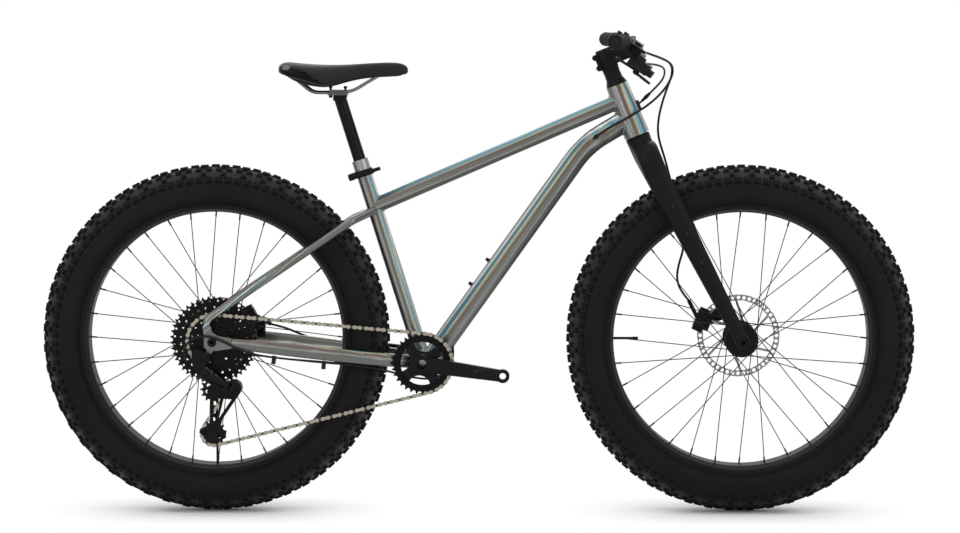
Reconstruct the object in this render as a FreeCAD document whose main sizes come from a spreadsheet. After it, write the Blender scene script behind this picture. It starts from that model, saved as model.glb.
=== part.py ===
import FreeCAD, Part
import math
import os
import Sketcher
from types import SimpleNamespace
from FreeCAD import Placement, Rotation, Vector

# Fat tire bike. +X is forward, +Z up, and the drive side faces -Y. The origin is on the ground,
# midway between the axles, in the plane of the frame. All sizes are in millimetres and degrees.

DRIVING_SIZES = (
    ("wheelbase", 1137),
    ("tyre_diameter", 755),
    ("tyre_width", 117),
    ("tyre_wall", 3),
    ("knob_height", 6.5),
    ("knob_rows", 40),
    ("rim_bed_diameter", 551),
    ("rim_flange_diameter", 580),
    ("rim_width", 80),
    ("rim_wall", 3),
    ("rim_bed_width", 50),
    ("spokes_per_side", 16),
    ("spoke_diameter", 2),
    ("nipple_diameter", 3.6),
    ("nipple_length", 13),
    ("spoke_crossings", 3),
    ("front_flange_diameter", 72),
    ("rear_flange_diameter", 66),
    ("flange_thickness", 3.5),
    ("hub_barrel_diameter", 31),
    ("front_hub_width", 150),
    ("rear_hub_width", 197),
    ("front_axle_diameter", 15),
    ("rear_axle_diameter", 12),
    ("axle_wall", 2.5),
    ("running_clearance", 0.05),
    ("side_clearance", 0.3),
    ("rotor_diameter", 180),
    ("rear_rotor_diameter", 160),
    ("rotor_thickness", 1.8),
    ("rotor_inset", 15.5),
    ("bb_drop", 48),
    ("chainstay_length", 452),
    ("bb_shell_width", 100),
    ("bb_shell_diameter", 46),
    ("spindle_diameter", 30),
    ("spindle_wall", 5),
    ("seat_angle", 72.5),
    ("seat_tube_length", 456),
    ("seat_tube_diameter", 34),
    ("seat_sleeve_diameter", 36),
    ("seat_sleeve_length", 37),
    ("seatpost_diameter", 27.2),
    ("seatpost_length", 350),
    ("seatpost_height", 596),
    ("head_angle", 68),
    ("head_tube_length", 117),
    ("head_tube_top_diameter", 48),
    ("head_tube_bottom_diameter", 56),
    ("head_bore_diameter", 40),
    ("bearing_height", 8),
    ("headset_gap", 1.5),
    ("fork_length", 491.5),
    ("fork_offset", 44),
    ("fork_leg_spacing", 160),
    ("fork_leg_depth", 50),
    ("fork_leg_thickness", 24),
    ("fork_tip_depth", 29),
    ("fork_tip_thickness", 17),
    ("crown_height", 86),
    ("steerer_diameter", 28.6),
    ("steerer_wall", 2.3),
    ("top_tube_height", 34),
    ("top_tube_width", 38),
    ("top_tube_below_head", 34),
    ("top_tube_on_seat", 351),
    ("down_tube_height", 47),
    ("down_tube_width", 44),
    ("down_tube_angle", 54.5),
    ("down_tube_bb_offset", 17),
    ("down_tube_knee", 575),
    ("down_tube_bend", 200),
    ("down_tube_above_head_end", 40),
    ("tube_wall", 2.2),
    ("chainstay_height", 29),
    ("chainstay_tip_height", 22),
    ("chainstay_width", 14),
    ("seatstay_diameter", 17),
    ("dropout_thickness", 7),
    ("stem_length", 60),
    ("stem_clamp_height", 40),
    ("stem_rise_above_head", 58.7),
    ("bar_clamp_diameter", 31.8),
    ("bar_diameter", 22.2),
    ("bar_wall", 2),
    ("bar_half_width", 375),
    ("bar_rise", 18),
    ("bar_back_sweep", 38),
    ("bar_up_sweep", 17),
    ("grip_length", 130),
    ("grip_diameter", 31.5),
    ("crank_length", 175),
    ("crank_rest_angle", -7.6),
    ("chainring_teeth", 32),
    ("chain_pitch", 12.7),
    ("roller_diameter", 7.7),
    ("cog_spacing", 3.9),
    ("cog_thickness", 1.6),
    ("smallest_cog_inset", 4.5),
    ("pulley_teeth", 13),
    ("pulley_spacing", 95),
    ("hose_diameter", 5),
    ("housing_diameter", 4.5),
    ("saddle_length", 278),
    ("saddle_width", 146),
    ("rail_diameter", 7),
    ("rail_spacing", 44),
)
COG_TEETH = (11, 13, 15, 18, 21, 24, 28, 32, 36, 40, 46)
CHAIN_COG = 6

X_AXIS = Vector(1, 0, 0)
Y_AXIS = Vector(0, 1, 0)
Z_AXIS = Vector(0, 0, 1)


class Measure:
    """A size from the sheet that remembers the expression it came from."""

    def __init__(self, value, text):
        self.value = value
        self.text = text

    def __float__(self):
        return self.value

    def __add__(self, other):
        return combined(self, "+", other)

    def __radd__(self, other):
        return combined(other, "+", self)

    def __sub__(self, other):
        return combined(self, "-", other)

    def __rsub__(self, other):
        return combined(other, "-", self)

    def __mul__(self, other):
        return combined(self, "*", other)

    def __rmul__(self, other):
        return combined(other, "*", self)

    def __truediv__(self, other):
        return combined(self, "/", other)

    def __neg__(self):
        return Measure(-self.value, "(0 - %s)" % self.text)


def text_of(size):
    return size.text if isinstance(size, Measure) else repr(float(size))


def combined(left, sign, right):
    first, second = float(left), float(right)
    if sign == "+":
        value = first + second
    elif sign == "-":
        value = first - second
    elif sign == "*":
        value = first * second
    else:
        value = first / second
    return Measure(value, "(%s %s %s)" % (text_of(left), sign, text_of(right)))


doc = FreeCAD.newDocument("fat_tire_bike")
sheet = doc.addObject("Spreadsheet::Sheet", "Sizes")
for row, (alias, value) in enumerate(DRIVING_SIZES, start=1):
    sheet.set("A%d" % row, alias)
    sheet.set("B%d" % row, str(value))
    sheet.setAlias("B%d" % row, alias)
doc.recompute()
s = SimpleNamespace()
for alias, value in DRIVING_SIZES:
    setattr(s, alias, Measure(float(sheet.get(alias)), "Sizes." + alias))
nodes = []


# Helpers that add objects to the document

def bind(obj, **sizes):
    for name, size in sizes.items():
        if isinstance(size, Measure):
            obj.setExpression(name, size.text)
        else:
            setattr(obj, name, size)


def primitive(kind, place, **sizes):
    obj = doc.addObject("Part::" + kind, kind)
    bind(obj, **sizes)
    obj.Placement = place
    return obj


def cylinder(radius, height, place):
    return primitive("Cylinder", place, Radius=radius, Height=height)


def cone(low_radius, high_radius, height, place):
    return primitive("Cone", place, Radius1=low_radius, Radius2=high_radius, Height=height)


def block(size, center, place):
    """A box of size (x, y, z) about a centre, both in the local frame of place."""
    corner = Vector(*[float(c) - float(e) / 2 for c, e in zip(center, size)])
    return primitive("Box", place * Placement(corner, Rotation()),
                     Length=size[0], Width=size[1], Height=size[2])


def fuse(*objects):
    obj = doc.addObject("Part::MultiFuse", "Fuse")
    obj.Shapes = list(objects)
    obj.Refine = True
    return obj


def cut(base, *tools):
    obj = doc.addObject("Part::Cut", "Cut")
    obj.Base = base
    obj.Tool = tools[0] if len(tools) == 1 else fuse(*tools)
    return obj


def group(*objects):
    obj = doc.addObject("Part::Compound", "Group")
    obj.Links = list(objects)
    return obj


def mirrored(source):
    """The same piece on the other side of the bike."""
    obj = doc.addObject("Part::Mirroring", "Mirrored")
    obj.Source = source
    obj.Normal = Y_AXIS
    return obj


def feature(shape, place=Placement()):
    obj = doc.addObject("Part::Feature", "Feature")
    obj.Shape = shape
    obj.Placement = place
    return obj


def node(label, obj):
    obj.Label = label
    nodes.append(obj)
    return obj


def pin_point(sketch, geometry, position, x, y):
    for kind, size, axis in (("DistanceX", x, -2), ("DistanceY", y, -1)):
        if float(size) == 0:
            sketch.addConstraint(Sketcher.Constraint("PointOnObject", geometry, position, axis))
            continue
        rule = Sketcher.Constraint(kind, -1, 1, geometry, position, float(size))
        index = sketch.addConstraint(rule)
        if isinstance(size, Measure):
            sketch.setExpression("Constraints[%d]" % index, size.text)


def draw(body, role, outline, circles=()):
    """A closed sketch of straight lines, with round holes given as (x, y, radius)."""
    plane = next(f for f in body.Origin.OriginFeatures if f.Role == role)
    sketch = body.newObject("Sketcher::SketchObject", "Outline")
    sketch.AttachmentSupport = (plane, [""])
    sketch.MapMode = "FlatFace"
    count = len(outline)
    flat = [Vector(float(x), float(y), 0) for x, y in outline]
    for i in range(count):
        sketch.addGeometry(Part.LineSegment(flat[i], flat[(i + 1) % count]), False)
    for i in range(count):
        sketch.addConstraint(Sketcher.Constraint("Coincident", i, 2, (i + 1) % count, 1))
    for i, (x, y) in enumerate(outline):
        pin_point(sketch, i, 1, x, y)
    for x, y, radius in circles:
        center = Vector(float(x), float(y), 0)
        index = sketch.addGeometry(Part.Circle(center, Z_AXIS, float(radius)), False)
        rule = Sketcher.Constraint("Radius", index, float(radius))
        number = sketch.addConstraint(rule)
        if isinstance(radius, Measure):
            sketch.setExpression("Constraints[%d]" % number, radius.text)
        pin_point(sketch, index, 3, x, y)
    return sketch


def turned(outline, place):
    """A turned piece: (radius, along) points spun about the local Y axis."""
    body = doc.addObject("PartDesign::Body", "Turned")
    sketch = draw(body, "XY_Plane", outline)
    spin = body.newObject("PartDesign::Revolution", "Spin")
    spin.Profile = sketch
    spin.ReferenceAxis = (sketch, ["V_Axis"])
    spin.Angle = 360
    body.Placement = place
    return body


def plate(outline, thickness, place, circles=()):
    """A flat piece drawn in the local XZ plane, reaching from there towards local -Y."""
    body = doc.addObject("PartDesign::Body", "Plate")
    sketch = draw(body, "XZ_Plane", outline, circles)
    pad = body.newObject("PartDesign::Pad", "Pad")
    pad.Profile = sketch
    bind(pad, Length=thickness)
    body.Placement = place
    return body


def ring(outer, inner, low, high, place):
    """A turned ring about the local Y axis."""
    return turned([(inner, low), (outer, low), (outer, high), (inner, high)], place)


# Helpers for shapes

def unit(vector):
    return Vector(vector).normalize()


def moved(*offset):
    return Placement(Vector(*[float(o) for o in offset]), Rotation())


def facing(point, direction):
    """A placement whose local Z points along a direction."""
    return Placement(Vector(point), Rotation(Z_AXIS, Vector(direction)))


def axes(point, x, y):
    """A placement with the given local X and Y directions."""
    return Placement(Vector(point), Rotation(unit(x), unit(y), unit(x).cross(unit(y)), "XYZ"))


def turned_about(axis, degrees):
    return Placement(Vector(), Rotation(axis, degrees))


def path_wire(points, bend=None):
    """Straight runs joined by tangent arcs: of one radius, or as large as the runs allow."""
    edges = []
    radii = []
    start = points[0]
    for before, corner, after in zip(points, points[1:], points[2:]):
        back = unit(before - corner)
        ahead = unit(after - corner)
        half_turn = (math.pi - back.getAngle(ahead)) / 2
        shorter = min((before - corner).Length, (after - corner).Length)
        radius = bend or 0.45 * shorter / math.tan(half_turn)
        reach = radius * math.tan(half_turn)
        inward = unit(back + ahead)
        middle = corner + inward * (radius / math.cos(half_turn) - radius)
        edges.append(Part.LineSegment(start, corner + back * reach).toShape())
        edges.append(Part.Arc(corner + back * reach, middle, corner + ahead * reach).toShape())
        radii.append(radius)
        start = corner + ahead * reach
    edges.append(Part.LineSegment(start, points[-1]).toShape())
    return Part.Wire(edges), radii


def tube_along(points, radius, bend=None, name=None):
    wire, radii = path_wire(points, bend)
    circle = Part.Wire(Part.makeCircle(radius, points[0], points[1] - points[0]))
    tube = wire.makePipeShell([circle], True, False)
    if name:
        expected = math.pi * radius ** 2 * wire.Length
        print(name, "length %.0f" % wire.Length, "volume ratio %.4f" % (tube.Volume / expected))
        print("  radii", " ".join("%.0f" % r for r in radii))
    return tube


def rounded_wire(corners, radius):
    """A closed polygon of local XY points with every corner rounded."""
    edges = []
    starts = []
    ends = []
    count = len(corners)
    for i in range(count):
        corner = Vector(corners[i][0], corners[i][1], 0)
        back = unit(Vector(*corners[i - 1], 0) - corner)
        ahead = unit(Vector(*corners[(i + 1) % count], 0) - corner)
        half_turn = (math.pi - back.getAngle(ahead)) / 2
        reach = radius * math.tan(half_turn)
        middle = corner + unit(back + ahead) * (radius / math.cos(half_turn) - radius)
        starts.append(corner + back * reach)
        ends.append(corner + ahead * reach)
        edges.append(Part.Arc(starts[i], middle, ends[i]).toShape())
    for i in range(count):
        edges.append(Part.LineSegment(ends[i], starts[(i + 1) % count]).toShape())
    return Part.Wire(Part.__sortEdges__(edges))


def placed(shape, place):
    copy = shape.copy()
    copy.Placement = place * copy.Placement
    return copy


def polar(radius, degrees, y=0.0):
    angle = math.radians(degrees)
    return Vector(radius * math.cos(angle), y, radius * math.sin(angle))


# Main points of the frame, from the wheelbase, the wheel size and the angles

wheel_radius = float(s.tyre_diameter) / 2
rear_axle_point = Vector(-float(s.wheelbase) / 2, 0, wheel_radius)
front_axle_point = Vector(float(s.wheelbase) / 2, 0, wheel_radius)
stay_reach = math.sqrt(float(s.chainstay_length) ** 2 - float(s.bb_drop) ** 2)
bb_point = rear_axle_point + Vector(stay_reach, 0, -float(s.bb_drop))
rear_place = moved(*rear_axle_point)
front_place = moved(*front_axle_point)
bb_place = moved(*bb_point)

steer_turn = Rotation(Y_AXIS, float(s.head_angle) - 90)
steer_forward = steer_turn.multVec(X_AXIS)
steer_up = steer_turn.multVec(Z_AXIS)
steer = Placement(front_axle_point - steer_forward * float(s.fork_offset), steer_turn)
head_low = s.fork_length + s.headset_gap
head_high = head_low + s.head_tube_length
seat = Placement(bb_point, Rotation(Y_AXIS, float(s.seat_angle) - 90))


def on_steer(x, y, z):
    return steer.multVec(Vector(float(x), float(y), float(z)))


def on_seat(x, y, z):
    return seat.multVec(Vector(float(x), float(y), float(z)))


# Wheels: tyre, rim with valve, laced spokes, hub and rotor

RIM_SHOULDER = 7.0
TYRE_LIP = 1.0
BEAD_DEPTH = 6.5
# Tread rows: tilt from the crown, stagger, width, length, and how much lower than a centre block
TREAD_ROWS = ((9, 0.25, 17, 26, 0.0), (58, 0.0, 17, 27, 1.5))
bed_radius = s.rim_bed_diameter / 2
flange_edge = s.rim_flange_diameter / 2


def make_rim(place, valve_angle):
    half = s.rim_width / 2
    bed = s.rim_bed_width / 2
    outline = [
        (bed_radius, -bed), (bed_radius, bed), (bed_radius + RIM_SHOULDER, half), (flange_edge, half),
        (flange_edge, half - s.rim_wall), (bed_radius + RIM_SHOULDER + 1, half - s.rim_wall),
        (bed_radius + s.rim_wall, bed - 1), (bed_radius + s.rim_wall, 1 - bed),
        (bed_radius + RIM_SHOULDER + 1, s.rim_wall - half), (flange_edge, s.rim_wall - half),
        (flange_edge, -half), (bed_radius + RIM_SHOULDER, -half),
    ]
    valve_length = 42
    direction = polar(1, valve_angle)
    foot = place.Base + direction * (float(bed_radius) - valve_length)
    stem = cylinder(2.8, valve_length, facing(foot, direction))
    tip = cylinder(3.4, 12, facing(foot - direction * 12, direction))
    return group(turned(outline, place), fuse(stem, tip))


def tyre_shape():
    """Casing of revolution about Y with rows of tread blocks joined to it."""
    crown = wheel_radius - float(s.knob_height)
    side = float(s.tyre_width) / 2 - 2
    bead = float(flange_edge) + TYRE_LIP
    bead_y = float(s.rim_width) / 2 - float(s.rim_wall)
    wide = bead + 0.45 * (crown - bead)
    wall = float(s.tyre_wall)
    round_radius = (side ** 2 + (crown - wide) ** 2) / (2 * (crown - wide))
    middle = crown - round_radius
    limit = math.asin(side / round_radius)

    def point(y, r):
        return Vector(r, y, 0)

    def crown_arc(radius):
        ends = [point(radius * math.sin(a), middle + radius * math.cos(a)) for a in (limit, 0, -limit)]
        return Part.Arc(*ends).toShape(), ends[0]

    outer, outer_end = crown_arc(round_radius)
    inner, inner_end = crown_arc(round_radius - wall)
    flank = (side * 0.93, bead + 0.4 * (wide - bead))
    edges = [outer, inner]
    for sign in (1, -1):
        edges.append(Part.Arc(point(sign * outer_end.y, outer_end.x), point(sign * flank[0], flank[1]),
                              point(sign * bead_y, bead)).toShape())
        edges.append(Part.Arc(point(sign * inner_end.y, inner_end.x),
                              point(sign * (flank[0] - wall), flank[1]),
                              point(sign * (bead_y - wall), bead)).toShape())
        foot = [point(sign * bead_y, bead), point(sign * bead_y, bead - BEAD_DEPTH),
                point(sign * (bead_y - wall), bead - BEAD_DEPTH), point(sign * (bead_y - wall), bead)]
        edges += [Part.LineSegment(a, b).toShape() for a, b in zip(foot, foot[1:])]
    profile = Part.Face(Part.Wire(Part.__sortEdges__(edges)))
    casing = profile.revolve(Vector(), Y_AXIS, 360)
    blocks = []
    count = int(float(s.knob_rows))
    root = 0.6 * wall
    for tilt, lag, width, length, height in TREAD_ROWS:
        level = math.sqrt(wheel_radius ** 2 - (length / 2) ** 2) - middle
        slope = math.radians(tilt)
        room = (level - width / 2 * math.sin(slope)) / math.cos(slope) - round_radius
        rise = min(float(s.knob_height), room) - height
        for sign in (1, -1):
            corner = Vector(round_radius - root, -width / 2, -length / 2)
            shape = Part.makeBox(rise + root, width, length, corner)
            shape.rotate(Vector(), Z_AXIS, sign * tilt)
            shape.translate(Vector(middle, 0, 0))
            for i in range(count):
                blocks.append(placed(shape, turned_about(Y_AXIS, 360 * (i + sign * lag) / count)))
    return casing.fuse(blocks)


def spoke_shapes(left_flange, right_flange, flange_radius, center):
    """Spokes crossing in pairs from each hub flange to the rim, each with its nipple."""
    per_side = int(float(s.spokes_per_side))
    step = 360 / per_side
    radius = float(s.spoke_diameter) / 2
    hole_radius = float(flange_radius) - 3.5
    swing = float(s.spoke_crossings) * step
    half_flange = float(s.flange_thickness) / 2
    over_flange = math.sqrt(float(flange_radius) ** 2 - hole_radius ** 2)
    shapes = []
    for y, rim_y, lag in ((left_flange, 11, 0), (right_flange, -11, step / 2)):
        for k in range(per_side):
            side = 1 if k % 2 else -1
            outside = side * y > 0
            lean = abs(y - rim_y) / float(bed_radius) * over_flange
            clear = lean + 0.5 if outside else 1.5
            hub = polar(hole_radius, k * step + lag, float(y) + side * (half_flange + radius + clear))
            rim = polar(float(bed_radius) - 0.4, k * step + lag - side * swing, rim_y)
            along = unit(rim - hub)
            spoke = Part.makeCylinder(radius, (rim - hub).Length, hub, along)
            neck = rim - along * float(s.nipple_length)
            nipple = Part.makeCylinder(float(s.nipple_diameter) / 2, float(s.nipple_length), neck, along)
            through = 2 * half_flange + radius + clear + (1.6 if outside else 0.8)
            elbow = Part.makeCylinder(radius, through, hub, Y_AXIS * -side)
            bead = Part.makeCylinder(radius * 1.8, 1.2, hub - Y_AXIS * side * through, Y_AXIS * -side)
            knee = Part.makeSphere(radius, hub)
            shapes.append(spoke.fuse([nipple, elbow, bead, knee]))
    return feature(Part.makeCompound(shapes), moved(*center))


def spoke_holes(left_flange, right_flange, flange_radius, center):
    per_side = int(float(s.spokes_per_side))
    step = 360 / per_side
    holes = []
    for y, lag in ((left_flange, 0), (right_flange, step / 2)):
        for k in range(per_side):
            base = polar(float(flange_radius) - 3.5, k * step + lag, float(y) - 5)
            holes.append(Part.makeCylinder(float(s.spoke_diameter) / 2 + 0.25, 10, base, Y_AXIS))
    return feature(Part.makeCompound(holes), moved(*center))


ROTOR_BOLT_CIRCLE = 22.0
ROTOR_SEAT = 28.0


ROTOR_BAND = 13.0
ROTOR_ARM = 5.0
WINDOW_RADIUS = 3.9
WINDOW_STEP = 11.8


def make_rotor(center, y, diameter):
    """A wavy braking band with a row of round windows, carried on six swept arms."""
    outer = float(diameter) / 2
    thick = float(s.rotor_thickness)
    band_middle = outer - ROTOR_BAND / 2

    def disc(radius, at=Vector(), height=thick):
        return Part.makeCylinder(radius, height, at - Y_AXIS * height / 2, Y_AXIS)

    track = disc(outer).cut(disc(outer - ROTOR_BAND))
    hub = disc(ROTOR_SEAT).cut(disc(17.2))
    arms = []
    for k in range(6):
        start = polar(ROTOR_SEAT - 3, 60 * k)
        end = polar(outer - ROTOR_BAND + 2, 60 * k + 34)
        along = unit(end - start)
        arm = Part.makeBox((end - start).Length, thick, ROTOR_ARM, Vector(0, -thick / 2, -ROTOR_ARM / 2))
        arms.append(placed(arm, axes(start, along, Y_AXIS)))
    solid = track.fuse([hub] + arms)
    holes = [disc(2.6, polar(ROTOR_BOLT_CIRCLE, 60 * k + 30), 6) for k in range(6)]
    windows = round(2 * math.pi * band_middle / WINDOW_STEP)
    for k in range(windows):
        holes.append(disc(WINDOW_RADIUS, polar(band_middle, 360 * k / windows), 6))
    for k in range(12):
        holes.append(disc(9, polar(outer + 7.8, 30 * k + 7.5), 6))
        holes.append(disc(8, polar(outer - ROTOR_BAND - 7, 30 * k + 22), 6))
    bolts = []
    for k in range(6):
        at = polar(ROTOR_BOLT_CIRCLE, 60 * k + 30, thick / 2)
        bolts.append(Part.makeCylinder(4.2, 2.6, at, Y_AXIS))
    return feature(Part.makeCompound([solid.cut(holes)] + bolts), moved(center.x, y, center.z))


def hub_outline(bore, right_end, right_flange, left_flange, flange_radius, rotor_seat, left_end):
    half = s.flange_thickness / 2
    barrel = s.hub_barrel_diameter / 2
    cap = bore + 4
    return [
        (bore, right_end), (cap, right_end), (cap, right_flange - 6), (barrel + 2, right_flange - half - 1.5),
        (flange_radius, right_flange - half), (flange_radius, right_flange + half),
        (barrel + 3, right_flange + 6), (barrel, right_flange + 18), (barrel, left_flange - 18),
        (barrel + 3, left_flange - 6), (flange_radius, left_flange - half),
        (flange_radius, left_flange + half), (23, left_flange + half + 1.5), (23, rotor_seat),
        (cap, rotor_seat), (cap, left_end), (bore, left_end),
    ]


front_half = s.front_hub_width / 2
rear_half = s.rear_hub_width / 2
front_rotor_y = front_half - s.rotor_inset
rear_rotor_y = rear_half - s.rotor_inset
front_flange = s.front_flange_diameter / 2
rear_flange = s.rear_flange_diameter / 2
front_bore = s.front_axle_diameter / 2 + s.running_clearance
rear_bore = s.rear_axle_diameter / 2 + s.running_clearance
FRONT_FLANGES = (38.0, -50.0)
REAR_FLANGES = (64.0, -41.0)
FREEHUB_INNER_END = 50.0

front_hub = turned(hub_outline(front_bore, s.side_clearance - front_half, FRONT_FLANGES[1], FRONT_FLANGES[0],
                               front_flange, front_rotor_y - s.rotor_thickness / 2,
                               front_half - s.side_clearance), front_place)
rear_hub = turned(hub_outline(rear_bore, s.side_clearance - FREEHUB_INNER_END, REAR_FLANGES[1],
                              REAR_FLANGES[0], rear_flange, rear_rotor_y - s.rotor_thickness / 2,
                              rear_half - s.side_clearance), rear_place)
tyre = tyre_shape()
node("front_tyre", feature(tyre, front_place))
node("rear_tyre", feature(tyre.copy(), rear_place))
node("front_rim", make_rim(front_place, 180))
node("rear_rim", make_rim(rear_place, 270))
node("front_spokes", spoke_shapes(*FRONT_FLANGES, front_flange, front_axle_point))
node("rear_spokes", spoke_shapes(*REAR_FLANGES, rear_flange, rear_axle_point))
node("front_hub", cut(front_hub, spoke_holes(*FRONT_FLANGES, front_flange, front_axle_point)))
node("rear_hub", cut(rear_hub, spoke_holes(*REAR_FLANGES, rear_flange, rear_axle_point)))
node("front_rotor", make_rotor(front_axle_point, float(front_rotor_y), s.rotor_diameter))
node("rear_rotor", make_rotor(rear_axle_point, float(rear_rotor_y), s.rear_rotor_diameter))


# Thru-axles: hollow, with a round head on the drive side

def make_axle(radius, half_width, place, head):
    inner = radius - s.axle_wall
    return turned([(inner, -half_width - head), (radius + 3.5, -half_width - head),
                   (radius + 3.5, -half_width), (radius, -half_width), (radius, half_width),
                   (inner, half_width)], place)


FORK_TIP_WIDTH = 20.0
node("front_axle", make_axle(s.front_axle_diameter / 2, front_half + FORK_TIP_WIDTH, front_place, 3))
node("rear_axle", make_axle(s.rear_axle_diameter / 2, rear_half + s.dropout_thickness, rear_place, 3))


# Main frame: head tube, seat tube and bottom bracket shell, then the tubes mitred to them

def steer_at(z, x=0):
    return steer * moved(x, 0, z)


def seat_at(z):
    return seat * moved(0, 0, z)


def across(place, half):
    """Local Z turned to run along the bike's Y, starting half a width to the drive side."""
    return place * Placement(Vector(0, -float(half), 0), Rotation(X_AXIS, -90))


seat_radius = s.seat_tube_diameter / 2
post_bore = s.seatpost_diameter / 2 + s.running_clearance / 2
shell_radius = s.bb_shell_diameter / 2
shell_half = s.bb_shell_width / 2
cup_radius = shell_radius - 3
spindle_bore = s.spindle_diameter / 2 + s.running_clearance
steerer_radius = s.steerer_diameter / 2

head_outer = cone(s.head_tube_bottom_diameter / 2, s.head_tube_top_diameter / 2, s.head_tube_length,
                  steer_at(head_low))
head_bore = cylinder(s.head_bore_diameter / 2, s.head_tube_length, steer_at(head_low))
shell_outer = cylinder(shell_radius, s.bb_shell_width, across(bb_place, shell_half))
shell_bore = cylinder(cup_radius, s.bb_shell_width, across(bb_place, shell_half))
seat_outer = cylinder(seat_radius, s.seat_tube_length, seat)
sleeve = cylinder(s.seat_sleeve_diameter / 2, s.seat_sleeve_length,
                  seat_at(s.seat_tube_length - s.seat_sleeve_length))
seat_bore = cylinder(post_bore, s.seat_tube_length, seat)
node("head_tube", cut(head_outer, head_bore))
node("bottom_bracket_shell", cut(shell_outer, shell_bore))
node("seat_tube", cut(fuse(seat_outer, sleeve), seat_bore, shell_outer))

lower_bearing = ring(s.head_bore_diameter / 2, steerer_radius + s.running_clearance, 0, s.bearing_height,
                     steer_at(head_low) * Placement(Vector(), Rotation(X_AXIS, 90)))
upper_bearing = ring(s.head_bore_diameter / 2, steerer_radius + s.running_clearance, 0, s.bearing_height,
                     steer_at(head_high - s.bearing_height) * Placement(Vector(), Rotation(X_AXIS, 90)))
node("headset_bearings", group(lower_bearing, upper_bearing))

CUP_FLANGE = 6.0
CUP_DEPTH = 12.0


def make_cup(sign):
    low = shell_half - CUP_DEPTH
    high = shell_half + CUP_FLANGE
    outline = [(spindle_bore, sign * low), (cup_radius, sign * low), (cup_radius, sign * shell_half),
               (shell_radius - 1, sign * shell_half), (shell_radius - 1, sign * high),
               (spindle_bore, sign * high)]
    return turned(outline, bb_place)


node("bottom_bracket_cups", group(make_cup(1), make_cup(-1)))


def tube_section(width, height, shrink=0.0):
    """A rounded hexagonal tube section: flat cheeks with slanting shoulders."""
    half_w = width / 2 - shrink
    half_h = height / 2 - shrink
    corners = [(half_w, -half_h * 0.35), (half_w, half_h * 0.35), (half_w * 0.45, half_h),
               (-half_w * 0.45, half_h), (-half_w, half_h * 0.35), (-half_w, -half_h * 0.35),
               (-half_w * 0.45, -half_h), (half_w * 0.45, -half_h)]
    return rounded_wire(corners, min(half_w, half_h) * 0.42)


def section_frame(point, along):
    """Local Z along the tube, local X across the bike."""
    z = unit(along)
    x = unit(Y_AXIS - z * z.dot(Y_AXIS))
    return axes(point, x, z.cross(x))


def main_tube(points, width, height, bend=None):
    wire, radii = path_wire(points, bend) if len(points) > 2 else (Part.makePolygon(points), [])
    start = section_frame(points[0], points[1] - points[0])
    wall = float(s.tube_wall)
    outer = wire.makePipeShell([placed(tube_section(float(width), float(height)), start)], True, False)
    inner = wire.makePipeShell([placed(tube_section(float(width), float(height), wall), start)], True, False)
    return outer, inner


head_on_top = on_steer(0, 0, head_high - s.top_tube_below_head)
seat_on_top = on_seat(0, 0, s.top_tube_on_seat)
down_start = bb_point + Vector(float(s.down_tube_bb_offset), 0, 0)
down_direction = polar(1, float(s.down_tube_angle))
down_knee = down_start + down_direction * float(s.down_tube_knee)
down_end = on_steer(0, 0, head_low + s.down_tube_above_head_end)
top_outer, top_inner = main_tube([seat_on_top, head_on_top], s.top_tube_width, s.top_tube_height)
down_outer, down_inner = main_tube([down_start, down_knee, down_end], s.down_tube_width,
                                   s.down_tube_height, float(s.down_tube_bend))
top_solid = feature(top_outer)
node("top_tube", cut(cut(top_solid, feature(top_inner)), head_outer, seat_outer))


# Cord routes, chosen by hand, and the ports they use in the down tube

hose_radius = float(s.hose_diameter) / 2
housing_radius = float(s.housing_diameter) / 2
FRONT_HOSE = [Vector(*p) for p in (
    (339, 182, 1005), (347, 154, 1005), (366, 116, 1003), (394, 78, 994), (418, 44, 977), (420, 22, 950),
    (408, 20, 918), (397, 25, 884), (390, 34, 850), (390, 48, 818), (398, 68, 790), (408, 90, 762),
    (417, 100, 728), (430, 102, 684), (444, 102, 640), (452, 102, 598), (449, 99, 560), (438, 92, 528),
    (434, 82, 498), (444, 74, 472), (460, 68, 454))]
REAR_HOSE = [Vector(*p) for p in (
    (339, -182, 1005), (347, -154, 1005), (366, -118, 1003), (394, -82, 993), (416, -50, 976),
    (419, -28, 950), (405, -22, 922), (382, -28, 897), (354, -35, 876), (322, -38, 857), (290, -36, 840),
    (262, -26, 822), (236, -13, 800), (206, -7, 762), (169, -6, 718), (-43, 5, 420), (-65, 6, 378),
    (-53, 11, 340), (-64, 20, 306), (-98, 40, 290), (-136, 58, 300), (-172, 70, 322), (-216, 77, 340),
    (-268, 89, 350), (-318, 95, 355), (-366, 101, 364), (-400, 105, 377), (-432, 99, 391), (-458, 88, 398))]
SHIFT_HOUSING = [Vector(*p) for p in (
    (346, -188, 976), (358, -152, 974), (378, -112, 972), (396, -70, 966), (402, -24, 954), (398, 12, 936),
    (376, 30, 912), (350, 37, 886), (320, 38, 862), (290, 36, 842), (262, 26, 822), (236, 13, 800),
    (206, 6, 762), (177, 4, 706), (-33, -5, 414), (-57, -8, 378), (-52, -13, 338), (-66, -20, 306),
    (-98, -38, 291), (-138, -52, 296), (-180, -60, 308), (-226, -68, 320), (-276, -75, 327),
    (-330, -82, 332), (-384, -88, 338), (-436, -94, 344), (-480, -104, 352), (-516, -112, 366),
    (-550, -116, 384), (-586, -118, 394), (-616, -117, 384), (-630, -115, 360), (-622, -113, 336))]
PORTS = ((REAR_HOSE, 11, hose_radius), (REAR_HOSE, 16, hose_radius),
         (SHIFT_HOUSING, 10, housing_radius), (SHIFT_HOUSING, 15, housing_radius))


def port_cutter(route, index, radius):
    """A hole for the run that follows a point of the route."""
    start, end = route[index], route[index + 1]
    return feature(Part.makeCylinder(radius + 0.8, (end - start).Length * 1.6,
                                     start - (end - start) * 0.3, end - start))


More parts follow.
